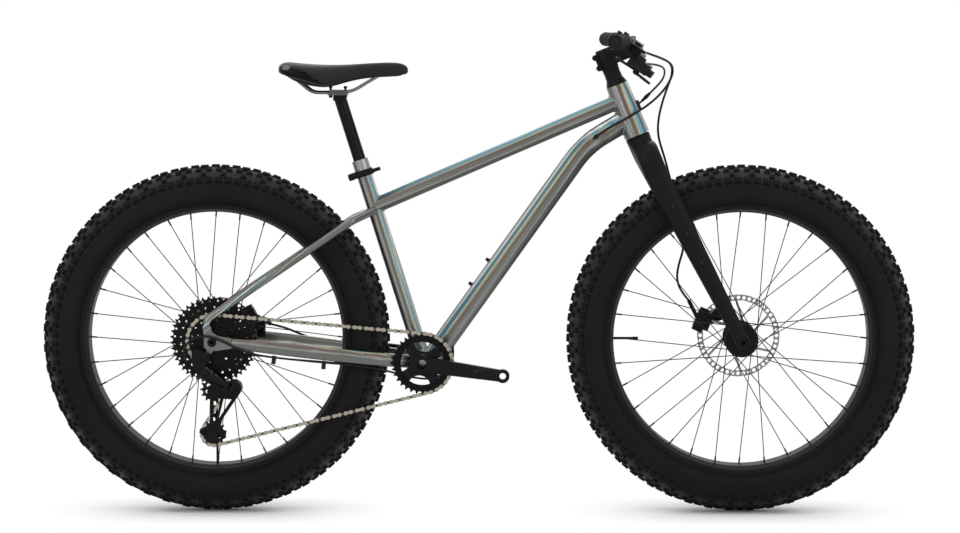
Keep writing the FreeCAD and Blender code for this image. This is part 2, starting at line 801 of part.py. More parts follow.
ports = [port_cutter(*port) for port in PORTS]
node("down_tube", cut(cut(feature(down_outer), feature(down_inner)), head_outer, shell_outer, seat_outer,
                      *ports))
front_hose = feature(tube_along(FRONT_HOSE, hose_radius, name="front brake hose"))
rear_hose = feature(tube_along(REAR_HOSE, hose_radius, name="rear brake hose"))
housing = feature(tube_along(SHIFT_HOUSING, housing_radius, name="shift housing"))
node("front_brake_hose", front_hose)
node("rear_brake_hose", rear_hose)
node("shift_housing", housing)


# Rear triangle: dropouts with hanger, chainstays and seatstays

HANGER = Vector(-13.5, 0, -30.5)
STAY_END = Vector(-11, 0, 34)
STAY_KNEE = Vector(0, 0, 15)
drop_y = float(rear_half) + float(s.dropout_thickness)
drop_place = moved(rear_axle_point.x, -float(rear_half), rear_axle_point.z)
axle_hole = s.rear_axle_diameter / 2
DROPOUT = [(-17, -10), (-10, -17), (10, -18), (42, -13), (42, 9), (13, 14), (1, 22), (-2.5, 34), (-19.5, 34),
           (-17, 14)]
dropout_right = plate(DROPOUT, s.dropout_thickness, drop_place, [(0, 0, axle_hole)])
dropout_left = plate(DROPOUT, s.dropout_thickness, moved(rear_axle_point.x, drop_y, rear_axle_point.z),
                     [(0, 0, axle_hole)])
hanger_outline = [(-9, -17.5), (-22, -24), (-24, -32), (-19, -39), (-9, -39), (-4, -30), (2, -17.7)]
HANGER_THICKNESS = 6.5
hanger = plate(hanger_outline, HANGER_THICKNESS, drop_place, [(HANGER.x, HANGER.z, 4)])
node("dropout_right", group(dropout_right, hanger))
node("dropout_left", dropout_left)


def rounded_box_wire(width, height, corner, point, along):
    w, h = width / 2, height / 2
    return placed(rounded_wire([(w, -h), (w, h), (-w, h), (-w, -h)], corner), section_frame(point, along))


def chainstay_shape(sign):
    tip_height = float(s.chainstay_tip_height)
    full = float(s.chainstay_height)
    width = float(s.chainstay_width)
    start = rear_axle_point + Vector(42, sign * (drop_y - width / 2 + 3.5), -2)
    stations = [
        (start, tip_height), (rear_axle_point + Vector(150, sign * 92.0, -15), full - 1),
        (bb_point + Vector(-150, sign * 75.5, 15), full), (bb_point + Vector(-72, sign * 58.5, 6), full),
        (bb_point + Vector(-10, sign * 40.0, 0), full)]
    wires = []
    for i, (point, height) in enumerate(stations):
        before = stations[max(i - 1, 0)][0]
        after = stations[min(i + 1, len(stations) - 1)][0]
        wires.append(rounded_box_wire(width, height, width * 0.44, point, after - before))
    return Part.makeLoft(wires, True, False)


cup_room = cylinder(shell_radius, s.bb_shell_width + 4 * CUP_FLANGE,
                    across(bb_place, shell_half + 2 * CUP_FLANGE))


def chainstay(sign):
    trim = block((84, 60, 120), (0, sign * drop_y, 0), rear_place)
    return cut(feature(chainstay_shape(sign)), cup_room, trim)


SEATSTAY_BEND = 19.0


def seatstay(sign):
    radius = float(s.seatstay_diameter) / 2
    bottom_y = drop_y - float(s.dropout_thickness) / 2
    foot = rear_axle_point + STAY_END + Vector(0, sign * bottom_y, 0)
    knee = foot + STAY_KNEE
    junction = on_seat(0, sign * 11, s.top_tube_on_seat - 8)
    wide = rear_axle_point + Vector(298, sign * 73, 258)
    tube = feature(tube_along([foot, knee, wide, junction], radius, SEATSTAY_BEND))
    return cut(tube, seat_outer, top_solid)


node("chainstays", group(chainstay(1), chainstay(-1)))
node("seatstays", group(seatstay(1), seatstay(-1)))


# Fork: crown with steerer, two tapering legs

leg_top = float(s.fork_length) - float(s.crown_height)
leg_y = float(s.fork_leg_spacing) / 2
tip_y = float(front_half) + FORK_TIP_WIDTH / 2
LEG_TOP_X = 6.0


def oval(depth, thickness, x, y, z):
    """A tube section across the leg: depth along the bike, thickness across it."""
    ellipse = Part.Ellipse(Vector(x, y, z), depth / 2, thickness / 2)
    return Part.Wire(ellipse.toShape())


def leg_shape(sign):
    top = (float(s.fork_leg_depth), float(s.fork_leg_thickness))
    tip = (float(s.fork_tip_depth), float(s.fork_tip_thickness))
    offset = float(s.fork_offset)
    middle_depth = 0.55 * top[0] + 0.45 * tip[0]
    middle_thick = 0.55 * top[1] + 0.45 * tip[1]
    sections = [oval(*top, LEG_TOP_X, sign * leg_y, leg_top),
                oval(middle_depth, middle_thick, 0.5 * (LEG_TOP_X + offset), sign * (leg_y + tip_y) / 2,
                     leg_top / 2),
                oval(*tip, offset, sign * tip_y, 0)]
    blade = Part.makeLoft(sections, True, False)
    boss = Part.makeCylinder(tip[0] / 2 + 1.5, FORK_TIP_WIDTH,
                             Vector(offset, sign * tip_y - FORK_TIP_WIDTH / 2, 0), Y_AXIS)
    hole = Part.makeCylinder(float(s.front_axle_diameter) / 2, 4 * FORK_TIP_WIDTH,
                             Vector(offset, sign * tip_y - 2 * FORK_TIP_WIDTH, 0), Y_AXIS)
    return blade.fuse(boss).cut(hole)


fork_legs = group(feature(leg_shape(1), steer), feature(leg_shape(-1), steer))
node("fork_legs", fork_legs)

CROWN_CORNER = 34.0
arch_top = float(s.fork_length) - 30.0
arch_points = [Vector(LEG_TOP_X, -leg_y, leg_top), Vector(LEG_TOP_X, -leg_y, arch_top),
               Vector(LEG_TOP_X, leg_y, arch_top), Vector(LEG_TOP_X, leg_y, leg_top)]
arch_wire, arch_radii = path_wire(arch_points, CROWN_CORNER)
arch = arch_wire.makePipeShell([oval(float(s.fork_leg_depth), float(s.fork_leg_thickness), LEG_TOP_X, -leg_y,
                                     leg_top)], True, False)
crown_boss = cone(s.fork_leg_depth / 2, s.head_tube_bottom_diameter / 2 - 1, 46,
                  steer_at(s.fork_length - 46))
stem_top = head_high + s.stem_rise_above_head + s.stem_clamp_height / 2
steerer = cylinder(steerer_radius, stem_top - s.fork_length + 20, steer_at(s.fork_length - 20))
steerer_bore = cylinder(steerer_radius - s.steerer_wall, stem_top, steer)
node("fork_crown", cut(fuse(feature(arch, steer), crown_boss, steerer), steerer_bore))


# Headset cover and spacers, stem, face plate and bolts

COVER_HEIGHT = 14.0
SPACER_RADIUS = 18.0
stem_low = stem_top - s.stem_clamp_height
cover_low = head_high + 0.5
cover = cut(cone(s.head_tube_top_diameter / 2 - 0.5, SPACER_RADIUS, COVER_HEIGHT, steer_at(cover_low)),
            cylinder(steerer_radius, COVER_HEIGHT, steer_at(cover_low)))
spacer_height = (stem_low - cover_low - COVER_HEIGHT) / 3
spacers = []
for i in range(3):
    low = cover_low + COVER_HEIGHT + i * spacer_height
    spacers.append(cut(cylinder(SPACER_RADIUS - 0.4 * (i % 2), spacer_height, steer_at(low)),
                       cylinder(steerer_radius, spacer_height, steer_at(low))))
node("headset_spacers", group(cover, *spacers))

stem_middle = stem_low + s.stem_clamp_height / 2
stem_place = steer_at(stem_middle)
bar_place = steer_at(stem_middle, s.stem_length)
bar_radius = s.bar_clamp_diameter / 2
STEM_CLAMP_WALL = 5.0
STEM_BAR_WIDTH = 46.0
clamp_outer = cylinder(steerer_radius + STEM_CLAMP_WALL, s.stem_clamp_height, steer_at(stem_low))
clamp_bore = cylinder(steerer_radius, s.stem_clamp_height, steer_at(stem_low))
beam = block((s.stem_length - 6, 32, 30), (s.stem_length / 2, 0, 0), stem_place)
bar_boss = cylinder(bar_radius + STEM_CLAMP_WALL, STEM_BAR_WIDTH, across(bar_place, STEM_BAR_WIDTH / 2))
bar_hole = cylinder(bar_radius, STEM_BAR_WIDTH, across(bar_place, STEM_BAR_WIDTH / 2))
PINCH = 12.0
pinch_x = -float(steerer_radius) - 8
lugs = [cylinder(6.2, 30, across(stem_place * moved(pinch_x, 0, z), 15)) for z in (PINCH, -PINCH)]
web = block((12, 24, 34), (pinch_x + 5, 0, 0), stem_place)
slot = block((30, 2, 60), (pinch_x, 0, 0), stem_place)
SPLIT_GAP = 1.5
front_half_space = block((60, 80, 80), (30 - SPLIT_GAP / 2, 0, 0), bar_place)
back_half_space = block((60, 80, 80), (SPLIT_GAP / 2 - 30, 0, 0), bar_place)
FACE_BOLTS = [(y, z) for y in (-15, 15) for z in (-21.5, 21.5)]
ears = [cylinder(5, 22, facing(bar_place.multVec(Vector(-11, y, z)), steer_forward)) for y, z in FACE_BOLTS]
node("stem", cut(fuse(clamp_outer, beam, bar_boss, *lugs, web, *ears), clamp_bore, bar_hole, slot,
                 front_half_space))
node("stem_faceplate", cut(fuse(bar_boss, *ears), bar_hole, back_half_space))

stem_bolts = [cylinder(3.2, 4, facing(bar_place.multVec(Vector(11, y, z)), steer_forward))
              for y, z in FACE_BOLTS]
pinch_heads = [cylinder(4, 3, facing(stem_place.multVec(Vector(pinch_x, 15, z)), Y_AXIS))
               for z in (PINCH, -PINCH)]
top_cap = cut(cylinder(steerer_radius + 3, 4, steer_at(stem_top)),
              cylinder(4, 2, steer_at(stem_top + 2)))
CARGO_HEIGHTS = (330.0, 262.0, 194.0)


def leg_bolt(sign, z):
    """A bolt head on the outer face of a fork leg."""
    share = z / leg_top
    x = LEG_TOP_X * share + float(s.fork_offset) * (1 - share)
    y = leg_y * share + tip_y * (1 - share)
    half = (float(s.fork_leg_thickness) * share + float(s.fork_tip_thickness) * (1 - share)) / 2
    head = cylinder(4.2, 5, facing(on_steer(x, sign * (y + half - 2), z), Y_AXIS * sign))
    return cut(head, fork_legs)


cargo_bolts = [leg_bolt(sign, z) for sign in (1, -1) for z in CARGO_HEIGHTS]
node("steering_bolts", group(*stem_bolts, *pinch_heads, top_cap, *cargo_bolts))


# Handlebar with rise and sweep, then grips

bend_in, bend_out = 72.0, 128.0


def bar_point(forward, y, up):
    return bar_place.multVec(Vector(float(forward), float(y), float(up)))


bar_end = bar_point(-s.bar_back_sweep, -s.bar_half_width, s.bar_rise + s.bar_up_sweep)
bar_knee = bar_point(0, -bend_out, s.bar_rise)
BAR_POINTS = [bar_end, bar_knee, bar_point(0, -bend_in, 0), bar_point(0, bend_in, 0),
              bar_point(0, bend_out, s.bar_rise),
              bar_point(-s.bar_back_sweep, s.bar_half_width, s.bar_rise + s.bar_up_sweep)]
BAR_BEND = 55.0
tube_radius = float(s.bar_diameter) / 2
outer_bar = feature(tube_along(BAR_POINTS, tube_radius, BAR_BEND))
inner_bar = feature(tube_along(BAR_POINTS, tube_radius - float(s.bar_wall), BAR_BEND))
thick = cylinder(bar_radius, 64, across(bar_place, 32))
cones = [cone(bar_radius, s.bar_diameter / 2, 24, facing(bar_point(0, y, 0), Y_AXIS * (1 if y > 0 else -1)))
         for y in (32, -32)]
node("handlebar", cut(fuse(outer_bar, thick, *cones), inner_bar))

outward = unit(bar_end - bar_knee)
grip_radius = s.grip_diameter / 2
CAP = 3.0


def along_y(point, direction):
    """A placement whose local Y points along a direction."""
    return Placement(Vector(point), Rotation(Y_AXIS, Vector(direction)))


grip_outline = [
    (s.bar_diameter / 2, -s.grip_length), (grip_radius + 1.5, -s.grip_length),
    (grip_radius + 1.5, 8 - s.grip_length), (grip_radius, 8.5 - s.grip_length), (grip_radius, -9.5),
    (grip_radius + 1, -9), (grip_radius + 1, CAP - 1), (grip_radius - 1, CAP), (0, CAP), (0, 0.2),
    (s.bar_diameter / 2, 0.2)]
grip_right = turned(grip_outline, along_y(bar_end, outward))
node("grips", group(grip_right, mirrored(grip_right)))


# Brake levers: master cylinder with its bar clamp and pivot, and the blade that swings on it

LEVER_SET = 142.0
LEVER_DROP = 35.0
control_point = bar_end - outward * LEVER_SET
level = polar(1, -LEVER_DROP)
reach_direction = unit(level - outward * level.dot(outward))
control = axes(control_point, outward, reach_direction)
PIVOT_X, PIVOT_Y, PIVOT_RADIUS = 4.0, 42.0, 3.0
BLADE_THICKNESS = 10.0
EAR = 3.6


def along_bar(x, y, z):
    """Local Z of the result runs outward along the bar."""
    return control * Placement(Vector(x, y, z), Rotation(Y_AXIS, 90))


half_blade = BLADE_THICKNESS / 2 + float(s.side_clearance)
clamp = cylinder(tube_radius + 4, 13, along_bar(-6.5, 0, 0))
clamp_lug = block((13, 10, 9), (0, -6, 14), control)
arm = block((13, 24, 15), (0, 19, 0), control)
barrel = cylinder(9.5, 62, along_bar(-58, 27, 0))
reservoir = block((40, 15, 13), (-32, 25, 8), control)
ear_blocks = [block((20, 32, EAR), (1, 34, sign * (half_blade + EAR / 2)), control) for sign in (1, -1)]
lever_room = block((70, 40, 2 * half_blade), (26, 53, 0), control)
pivot_pin = cylinder(PIVOT_RADIUS, 2 * half_blade + 2 * EAR,
                     control * moved(PIVOT_X, PIVOT_Y, -half_blade - EAR))
bar_bore = cylinder(tube_radius, 90, along_bar(-60, 0, 0))
master_body = fuse(clamp, clamp_lug, arm, barrel, reservoir, *ear_blocks)
master = fuse(cut(master_body, bar_bore, lever_room, rear_hose), pivot_pin)
node("brake_masters", group(master, mirrored(master)))

blade_outline = [(-2, 36), (9, 35.5), (22, 43), (60, 50), (92, 52), (102, 60), (105, 67), (101, 70),
                 (92, 62), (56, 60), (20, 56), (2, 48.5)]
blade_place = control * Placement(Vector(0, 0, -BLADE_THICKNESS / 2), Rotation(X_AXIS, -90))
blade = plate(blade_outline, BLADE_THICKNESS, blade_place,
              [(PIVOT_X, PIVOT_Y, PIVOT_RADIUS + s.running_clearance)])
node("brake_lever_right", blade)
node("brake_lever_left", mirrored(blade))

# Shifter under the bar on the drive side, with its thumb lever and release lever

POST = Vector(-40, 52, -35)
POST_RADIUS = 4.0
LEVER_THICKNESS = 4.5
shifter_clamp = cylinder(tube_radius + 3.5, 10, along_bar(-33, 0, 0))
neck = block((10, 36, 11), (-28, 22, -17), control)
pod = block((42, 46, 22), (-38, 50, -24), control)
pod_nose = block((30, 16, 14), (-36, 76, -26), control)
post = cylinder(POST_RADIUS, 11, control * moved(POST.x, POST.y, POST.z - 11))
node("shifter_body", cut(fuse(shifter_clamp, neck, pod, pod_nose, post), bar_bore, housing))


def flat_lever(outline, top):
    """A lever plate across the shifter post, its upper face at a local height."""
    place = control * Placement(Vector(0, 0, top - LEVER_THICKNESS), Rotation(X_AXIS, -90))
    return plate(outline, LEVER_THICKNESS, place, [(POST.x, POST.y, POST_RADIUS + s.running_clearance)])


thumb_top = POST.z - float(s.side_clearance)
release_top = thumb_top - LEVER_THICKNESS - float(s.side_clearance)
node("shift_thumb_lever", flat_lever([(-47, 58), (-33, 58), (-28, 40), (-8, 17), (-5, 6), (-15, 2), (-27, 12),
                                      (-45, 44)], thumb_top))
node("shift_release_lever", flat_lever([(-47, 46), (-33, 46), (-30, 58), (-19, 84), (-24, 92), (-34, 90),
                                        (-44, 72), (-48, 58)], release_top))


# Brake calipers: a body straddling the rotor, two pads, a hose boot and a bracket to the frame

CALIPER_INSET = 6.0
PAD_GAP = 0.4
PAD_THICKNESS = 2.6


def make_caliper(center, rotor_y, diameter, degrees, hose, hose_end, bracket):
    radial = polar(1, degrees)
    reach = float(diameter) / 2 - CALIPER_INSET
    hub = Vector(center.x, float(rotor_y), center.z)
    place = axes(hub, radial, Y_AXIS)
    pad_low = float(s.rotor_thickness) / 2 + PAD_GAP
    slot_half = pad_low + PAD_THICKNESS
    body = fuse(block((34, 26, 36), (reach, 0, 0), place),
                block((22, 22, 52), (reach + 5, 0, 0), place))
    rotor_edge = float(diameter) / 2 + 2
    opening = block((60, 2 * slot_half, 80), (rotor_edge - 30, 0, 0), place)
    root = hub + radial * (rotor_edge + 5)
    boot = cylinder(4.4, (hose_end - root).Length, facing(root, hose_end - root))
    pad_middle = pad_low + PAD_THICKNESS / 2
    pads = [block((20, PAD_THICKNESS, 28), (reach - 2, y, 0), place)
            for y in (pad_middle, -pad_middle)]
    return group(cut(fuse(body, boot, bracket), opening, hose), *pads)


by_label = {obj.Label: obj for obj in nodes}
front_bracket = cut(block((46, 16, 28), (12, 76, 58), steer), by_label["fork_legs"])
rear_bracket = cut(block((44, 14, 44), (76, 93.5, 14), rear_place), by_label["chainstays"],
                   by_label["dropout_left"])
node("front_brake_caliper", make_caliper(front_axle_point, front_rotor_y, s.rotor_diameter, 157, front_hose,
                                         FRONT_HOSE[-1], front_bracket))
node("rear_brake_caliper", make_caliper(rear_axle_point, rear_rotor_y, s.rear_rotor_diameter, 28, rear_hose,
                                        REAR_HOSE[-1], rear_bracket))


# Drivetrain layout: the chain's run over chainring, cog, tension pulley and guide pulley

def pitch_radius(teeth):
    return float(s.chain_pitch) / (2 * math.sin(math.pi / teeth))


ring_teeth = int(float(s.chainring_teeth))
pulley_teeth = int(float(s.pulley_teeth))
smallest_y = s.smallest_cog_inset - rear_half
chain_y = float(smallest_y + CHAIN_COG * s.cog_spacing)
CAGE_PIVOT = rear_axle_point + Vector(46.5, 0, -98.5)
GUIDE_OFFSET = Vector(-47, 0, -10)
TENSION_DIRECTION = unit(Vector(6, 0, -95))


def pulley_points(degrees):
    turn = Rotation(Y_AXIS, -degrees)
    guide = CAGE_PIVOT + turn.multVec(GUIDE_OFFSET)
    return guide, guide + turn.multVec(TENSION_DIRECTION * float(s.pulley_spacing))


class ChainTrack:
    """The closed line of the chain's pins: an arc on each wheel, then the straight run to the next."""

    def __init__(self, cage_degrees):
        guide, tension = pulley_points(cage_degrees)
        small = pitch_radius(pulley_teeth)
        self.wheels = [(rear_axle_point, pitch_radius(COG_TEETH[CHAIN_COG]), 1),
                       (bb_point, pitch_radius(ring_teeth), 1), (tension, small, 1), (guide, small, -1)]
        count = len(self.wheels)
        runs = [self.run(self.wheels[i], self.wheels[(i + 1) % count]) for i in range(count)]
        self.pieces = []
        for i, (center, radius, sense) in enumerate(self.wheels):
            start = self.angle(center, runs[i - 1][1])
            end = self.angle(center, runs[i][0])
            sweep = (sense * (start - end)) % (2 * math.pi)
            self.pieces.append(("arc", radius * sweep, (center, radius, start, sense)))
            self.pieces.append(("line", (runs[i][1] - runs[i][0]).Length, runs[i]))
        self.length = sum(piece[1] for piece in self.pieces)

    @staticmethod
    def angle(center, point):
        return math.atan2(point.z - center.z, point.x - center.x)

    @staticmethod
    def run(first, second):
        """The straight run from one wheel to the next, keeping each wheel's sense of turning."""
        (c1, r1, s1), (c2, r2, s2) = first, second
        apart = c2 - c1
        drop = s1 * r1 - s2 * r2
        length = math.sqrt(apart.x ** 2 + apart.z ** 2 - drop ** 2)
        heading = math.atan2(apart.z, apart.x) - math.atan2(drop, length)
        normal = Vector(-math.sin(heading), 0, math.cos(heading))
        return c1 + normal * (s1 * r1), c2 + normal * (s2 * r2)

    def point(self, distance):
        distance %= self.length
        for kind, length, data in self.pieces:
            if distance <= length:
                break
            distance -= length
        if kind == "line":
            return data[0] + unit(data[1] - data[0]) * distance
        center, radius, start, sense = data
        angle = start - sense * distance / radius
        return center + Vector(radius * math.cos(angle), 0, radius * math.sin(angle))

    def walk(self, links):
        """Distances of the pins, one chain pitch apart in a straight line."""
        pitch = float(s.chain_pitch)
        distances = [0.0]
        for i in range(links):
            here = self.point(distances[-1])
            low, high = distances[-1] + 0.9 * pitch, distances[-1] + 1.1 * pitch
            for step in range(50):
                middle = (low + high) / 2
                if (self.point(middle) - here).Length < pitch:
                    low = middle
                else:
                    high = middle
            distances.append(low)
        return distances

    def pin_angle(self, wheel, distances):
        """The angle of one pin that lies on a wheel, in degrees."""
        start = sum(piece[1] for piece in self.pieces[:2 * wheel])
        middle = start + self.pieces[2 * wheel][1] / 2
        nearest = min(distances, key=lambda d: abs(d - middle))
        return math.degrees(self.angle(self.wheels[wheel][0], self.point(nearest)))


def closing_error(degrees, links):
    track = ChainTrack(degrees)
    return track.walk(links)[-1] - track.length


CAGE_SWING = 30.0
first_track = ChainTrack(0)
chain_links = 2 * round(first_track.length / float(s.chain_pitch) / 2)
low_turn, high_turn = -CAGE_SWING, CAGE_SWING
low_error = closing_error(low_turn, chain_links)
for step in range(30):
    cage_turn = (low_turn + high_turn) / 2
    error = closing_error(cage_turn, chain_links)
    if (error > 0) == (low_error > 0):
        low_turn = cage_turn
    else:
        high_turn = cage_turn
track = ChainTrack(cage_turn)
pin_distances = track.walk(chain_links)[:-1]
print("chain links", chain_links, "cage turn %.2f" % cage_turn, "closing error %.4f" % error)
guide_point, tension_point = pulley_points(cage_turn)


# Sprockets: chainring, cassette and pulleys with seats for the chain's rollers

TOOTH_RISE = 2.5
TIP_HALF = 0.8
SEAT_CLEARANCE = 0.12


def sprocket(teeth, thickness, holes, phase):
    """A toothed plate about the local Y axis; holes are (x, z, radius)."""
    radius = pitch_radius(teeth)
    seat_r = float(s.roller_diameter) / 2 + SEAT_CLEARANCE
    tip = radius + TOOTH_RISE
    half_step = math.pi / teeth

    def at(r, angle):
        return Vector(r * math.cos(angle), -thickness / 2, r * math.sin(angle))

    seats = []
    for i in range(teeth):
        angle = math.radians(phase) + 2 * half_step * i
        middle = at(radius, angle)
        seats.append([middle + Vector(seat_r * math.cos(angle + turn), 0, seat_r * math.sin(angle + turn))
                      for turn in (math.radians(240), math.pi, math.radians(120))])
    edges = []
    for i in range(teeth):
        angle = math.radians(phase) + 2 * half_step * i + half_step
        first = at(tip, angle - TIP_HALF / tip)
        second = at(tip, angle + TIP_HALF / tip)
        edges.append(Part.Arc(*seats[i]).toShape())
        edges.append(Part.LineSegment(seats[i][2], first).toShape())
        edges.append(Part.LineSegment(first, second).toShape())
        edges.append(Part.LineSegment(second, seats[(i + 1) % teeth][0]).toShape())
    wires = [Part.Wire(edges)]
    for x, z, r in holes:
        wires.append(Part.Wire(Part.makeCircle(r, Vector(x, -thickness / 2, z), Y_AXIS)))
    return Part.makeFace(wires, "Part::FaceMakerBullseye").extrude(Y_AXIS * thickness)


def hole_ring(count, at_radius, radius, lag=0.0):
    return [(p.x, p.z, radius) for p in (polar(at_radius, 360 * (k + lag) / count) for k in range(count))]


COG_HOLES = ((85.3, 2.2, 32), (71.0, 3.2, 26), (58.5, 3.4, 22), (46.0, 3.6, 16), (33.5, 3.6, 10))
COG_RIM = 5.4
FREEHUB_RADIUS = 17.0
SPACER_OUTER = 18.2
cog_thick = float(s.cog_thickness)
cassette = []
for i, teeth in enumerate(COG_TEETH):
    y = float(smallest_y + i * s.cog_spacing)
    holes = [(0, 0, FREEHUB_RADIUS)]
    for hole_reach, hole_radius, hole_count in COG_HOLES:
        if hole_reach + hole_radius < pitch_radius(teeth) - COG_RIM:
            holes += hole_ring(hole_count, hole_reach, hole_radius, 0.5)
    phase = track.pin_angle(0, pin_distances) if i == CHAIN_COG else 7.0 * i
    cassette.append(placed(sprocket(teeth, cog_thick, holes, phase), moved(0, y, 0)))
    if i:
        gap = float(s.cog_spacing) - cog_thick
        tube = Part.makeCylinder(SPACER_OUTER, gap, Vector(0, y - cog_thick / 2 - gap, 0), Y_AXIS)
        bore = Part.makeCylinder(FREEHUB_RADIUS, gap, Vector(0, y - cog_thick / 2 - gap, 0), Y_AXIS)
        cassette.append(tube.cut(bore))
cogs = feature(Part.makeCompound(cassette), rear_place)
freehub_end = smallest_y - s.cog_thickness / 2
freehub = turned([(rear_bore, -FREEHUB_INNER_END), (SPACER_OUTER + 3, -FREEHUB_INNER_END),
                  (SPACER_OUTER + 3, smallest_y + s.cog_spacing * (len(COG_TEETH) - 1) + s.cog_thickness / 2),
                  (FREEHUB_RADIUS, smallest_y + s.cog_spacing * (len(COG_TEETH) - 1) + s.cog_thickness / 2),
                  (FREEHUB_RADIUS, freehub_end), (rear_bore + 3.5, freehub_end),
                  (rear_bore + 3.5, s.side_clearance - rear_half), (rear_bore, s.side_clearance - rear_half)],
                 rear_place)
lockring = ring(15.5, rear_bore + 3.5, freehub_end - 2, freehub_end, rear_place)
node("cassette", group(cogs, freehub, lockring))

CHAINRING_THICKNESS = 1.9
CHAINRING_INNER = 46.5
BOLT_CIRCLE = 52.0
SPIDER_THICKNESS = 5.0
SPIDER_RADIUS = 46.0
SPIDER_WINDOW = 24.0
WINDOW_CIRCLE = 50.0
crank_turn = -float(s.crank_rest_angle)
ring_outer_y = chain_y - CHAINRING_THICKNESS / 2
spider_bolts = [polar(BOLT_CIRCLE, 45 + 90 * k - crank_turn) for k in range(4)]
ring_holes = [(0, 0, CHAINRING_INNER)]
chainring = sprocket(ring_teeth, CHAINRING_THICKNESS, ring_holes, track.pin_angle(1, pin_distances))
tabs = [Part.makeCylinder(8, CHAINRING_THICKNESS, p - Y_AXIS * CHAINRING_THICKNESS / 2, Y_AXIS)
        for p in spider_bolts]
bolt_holes = [Part.makeCylinder(4, 8, p - Y_AXIS * 4, Y_AXIS) for p in spider_bolts]
ring_solid = chainring.fuse(tabs).cut(bolt_holes)
chainring_bolts = []
for p in spider_bolts:
    low = -CHAINRING_THICKNESS / 2 - SPIDER_THICKNESS
    shank = Part.makeCylinder(4, CHAINRING_THICKNESS + SPIDER_THICKNESS, p + Y_AXIS * low, Y_AXIS)
    head = Part.makeCylinder(5.5, 2, p + Y_AXIS * (low - 2), Y_AXIS)
    socket = Part.makeCylinder(2.6, 3, p + Y_AXIS * (low - 2), Y_AXIS)
    chainring_bolts.append(shank.fuse(head).cut(socket))
node("chainring", feature(Part.makeCompound([ring_solid] + chainring_bolts),
                          moved(bb_point.x, chain_y, bb_point.z)))

# Crank: hollow spindle, two arms 180 degrees apart, and the spider that carries the chainring

ARM_THICKNESS = 13.0
ARM_ROOT = 84.0
ARM_TIP = 104.0
PEDAL_EYE = 14.5
PEDAL_THREAD = 7.14
BOSS_RADIUS = 20.5
BOSS_END = 93.0
cup_end = float(shell_half) + CUP_FLANGE


def crank_arm(side, boss_start, extras=()):
    base = bb_place * turned_about(Y_AXIS, crank_turn + (180 if side > 0 else 0))
    length = float(s.crank_length)
    tilt = math.degrees(math.atan((ARM_TIP - ARM_ROOT) / length))
    place = base * moved(0, side * ARM_ROOT + ARM_THICKNESS / 2, 0) * turned_about(Z_AXIS, side * tilt)
    beam = plate([(0, -17), (s.crank_length, -12.5), (s.crank_length, 12.5), (0, 17)], ARM_THICKNESS, place)
    start = min(side * boss_start, side * BOSS_END)
    boss = cylinder(BOSS_RADIUS, BOSS_END - boss_start, across(base, -start))
    eye_low = min(side * (ARM_TIP - 7.5), side * (ARM_TIP + 7.5))
    eye_place = across(base * moved(length, 0, 0), -eye_low)
    eye = cylinder(PEDAL_EYE, 15, eye_place)
    thread = cylinder(PEDAL_THREAD, 15, eye_place)
    bore = cylinder(s.spindle_diameter / 2, BOSS_END - boss_start, across(base, -start))
    return cut(fuse(beam, boss, eye, *extras), thread, bore)


spider_y = ring_outer_y - SPIDER_THICKNESS
spider_shape = Part.makeCylinder(SPIDER_RADIUS, SPIDER_THICKNESS, Vector(), Y_AXIS)
windows = [Part.makeCylinder(SPIDER_WINDOW, 20, polar(WINDOW_CIRCLE, 90 * k - crank_turn) - Y_AXIS * 5, Y_AXIS)
           for k in range(4)]
spider_shape = spider_shape.cut(windows)
spider_shape = spider_shape.fuse([Part.makeCylinder(7.5, SPIDER_THICKNESS, p, Y_AXIS) for p in spider_bolts])
spider_shape = spider_shape.cut([Part.makeCylinder(4, 20, p - Y_AXIS * 5, Y_AXIS) for p in spider_bolts])
spider = feature(spider_shape, moved(bb_point.x, spider_y, bb_point.z))
spindle = turned([(s.spindle_diameter / 2 - s.spindle_wall, -BOSS_END), (s.spindle_diameter / 2, -BOSS_END),
                  (s.spindle_diameter / 2, BOSS_END), (s.spindle_diameter / 2 - s.spindle_wall, BOSS_END)],
                 bb_place)
right_arm = crank_arm(-1, -ring_outer_y, [spider])
left_arm = crank_arm(1, cup_end + 1)
node("crank_arms", group(right_arm, left_arm, spindle))


# Chain: outer links with their pins and inner links with their rollers, in turn

PLATE_HEIGHT = 8.4
WAIST_LEAN = 26.0
PLATE_THICKNESS = 0.8
INNER_WIDTH = 2.3
PIN_RADIUS = 1.75
PLATE_GAP = 0.06


def link_plate(y):
    """A plate with two round ends and a waist, its waist arcs tangent to the ends."""
    half = float(s.chain_pitch) / 2
    radius = PLATE_HEIGHT / 2
    lean = math.radians(WAIST_LEAN)
    neck_x = half - radius * math.sin(lean)
    neck_z = radius * math.cos(lean)
    waist = neck_z - neck_x * math.tan(lean / 2)

    def at(x, z):
        return Vector(x, y, z)

    edges = [Part.Arc(at(neck_x, -neck_z), at(half + radius, 0), at(neck_x, neck_z)).toShape(),
             Part.Arc(at(neck_x, neck_z), at(0, waist), at(-neck_x, neck_z)).toShape(),
             Part.Arc(at(-neck_x, neck_z), at(-half - radius, 0), at(-neck_x, -neck_z)).toShape(),
             Part.Arc(at(-neck_x, -neck_z), at(0, -waist), at(neck_x, -neck_z)).toShape()]
    return Part.Face(Part.Wire(edges)).extrude(Y_AXIS * PLATE_THICKNESS)


def pin_cylinders(radius, width):
    half = float(s.chain_pitch) / 2
    return [Part.makeCylinder(radius, width, Vector(x, -width / 2, 0), Y_AXIS) for x in (-half, half)]


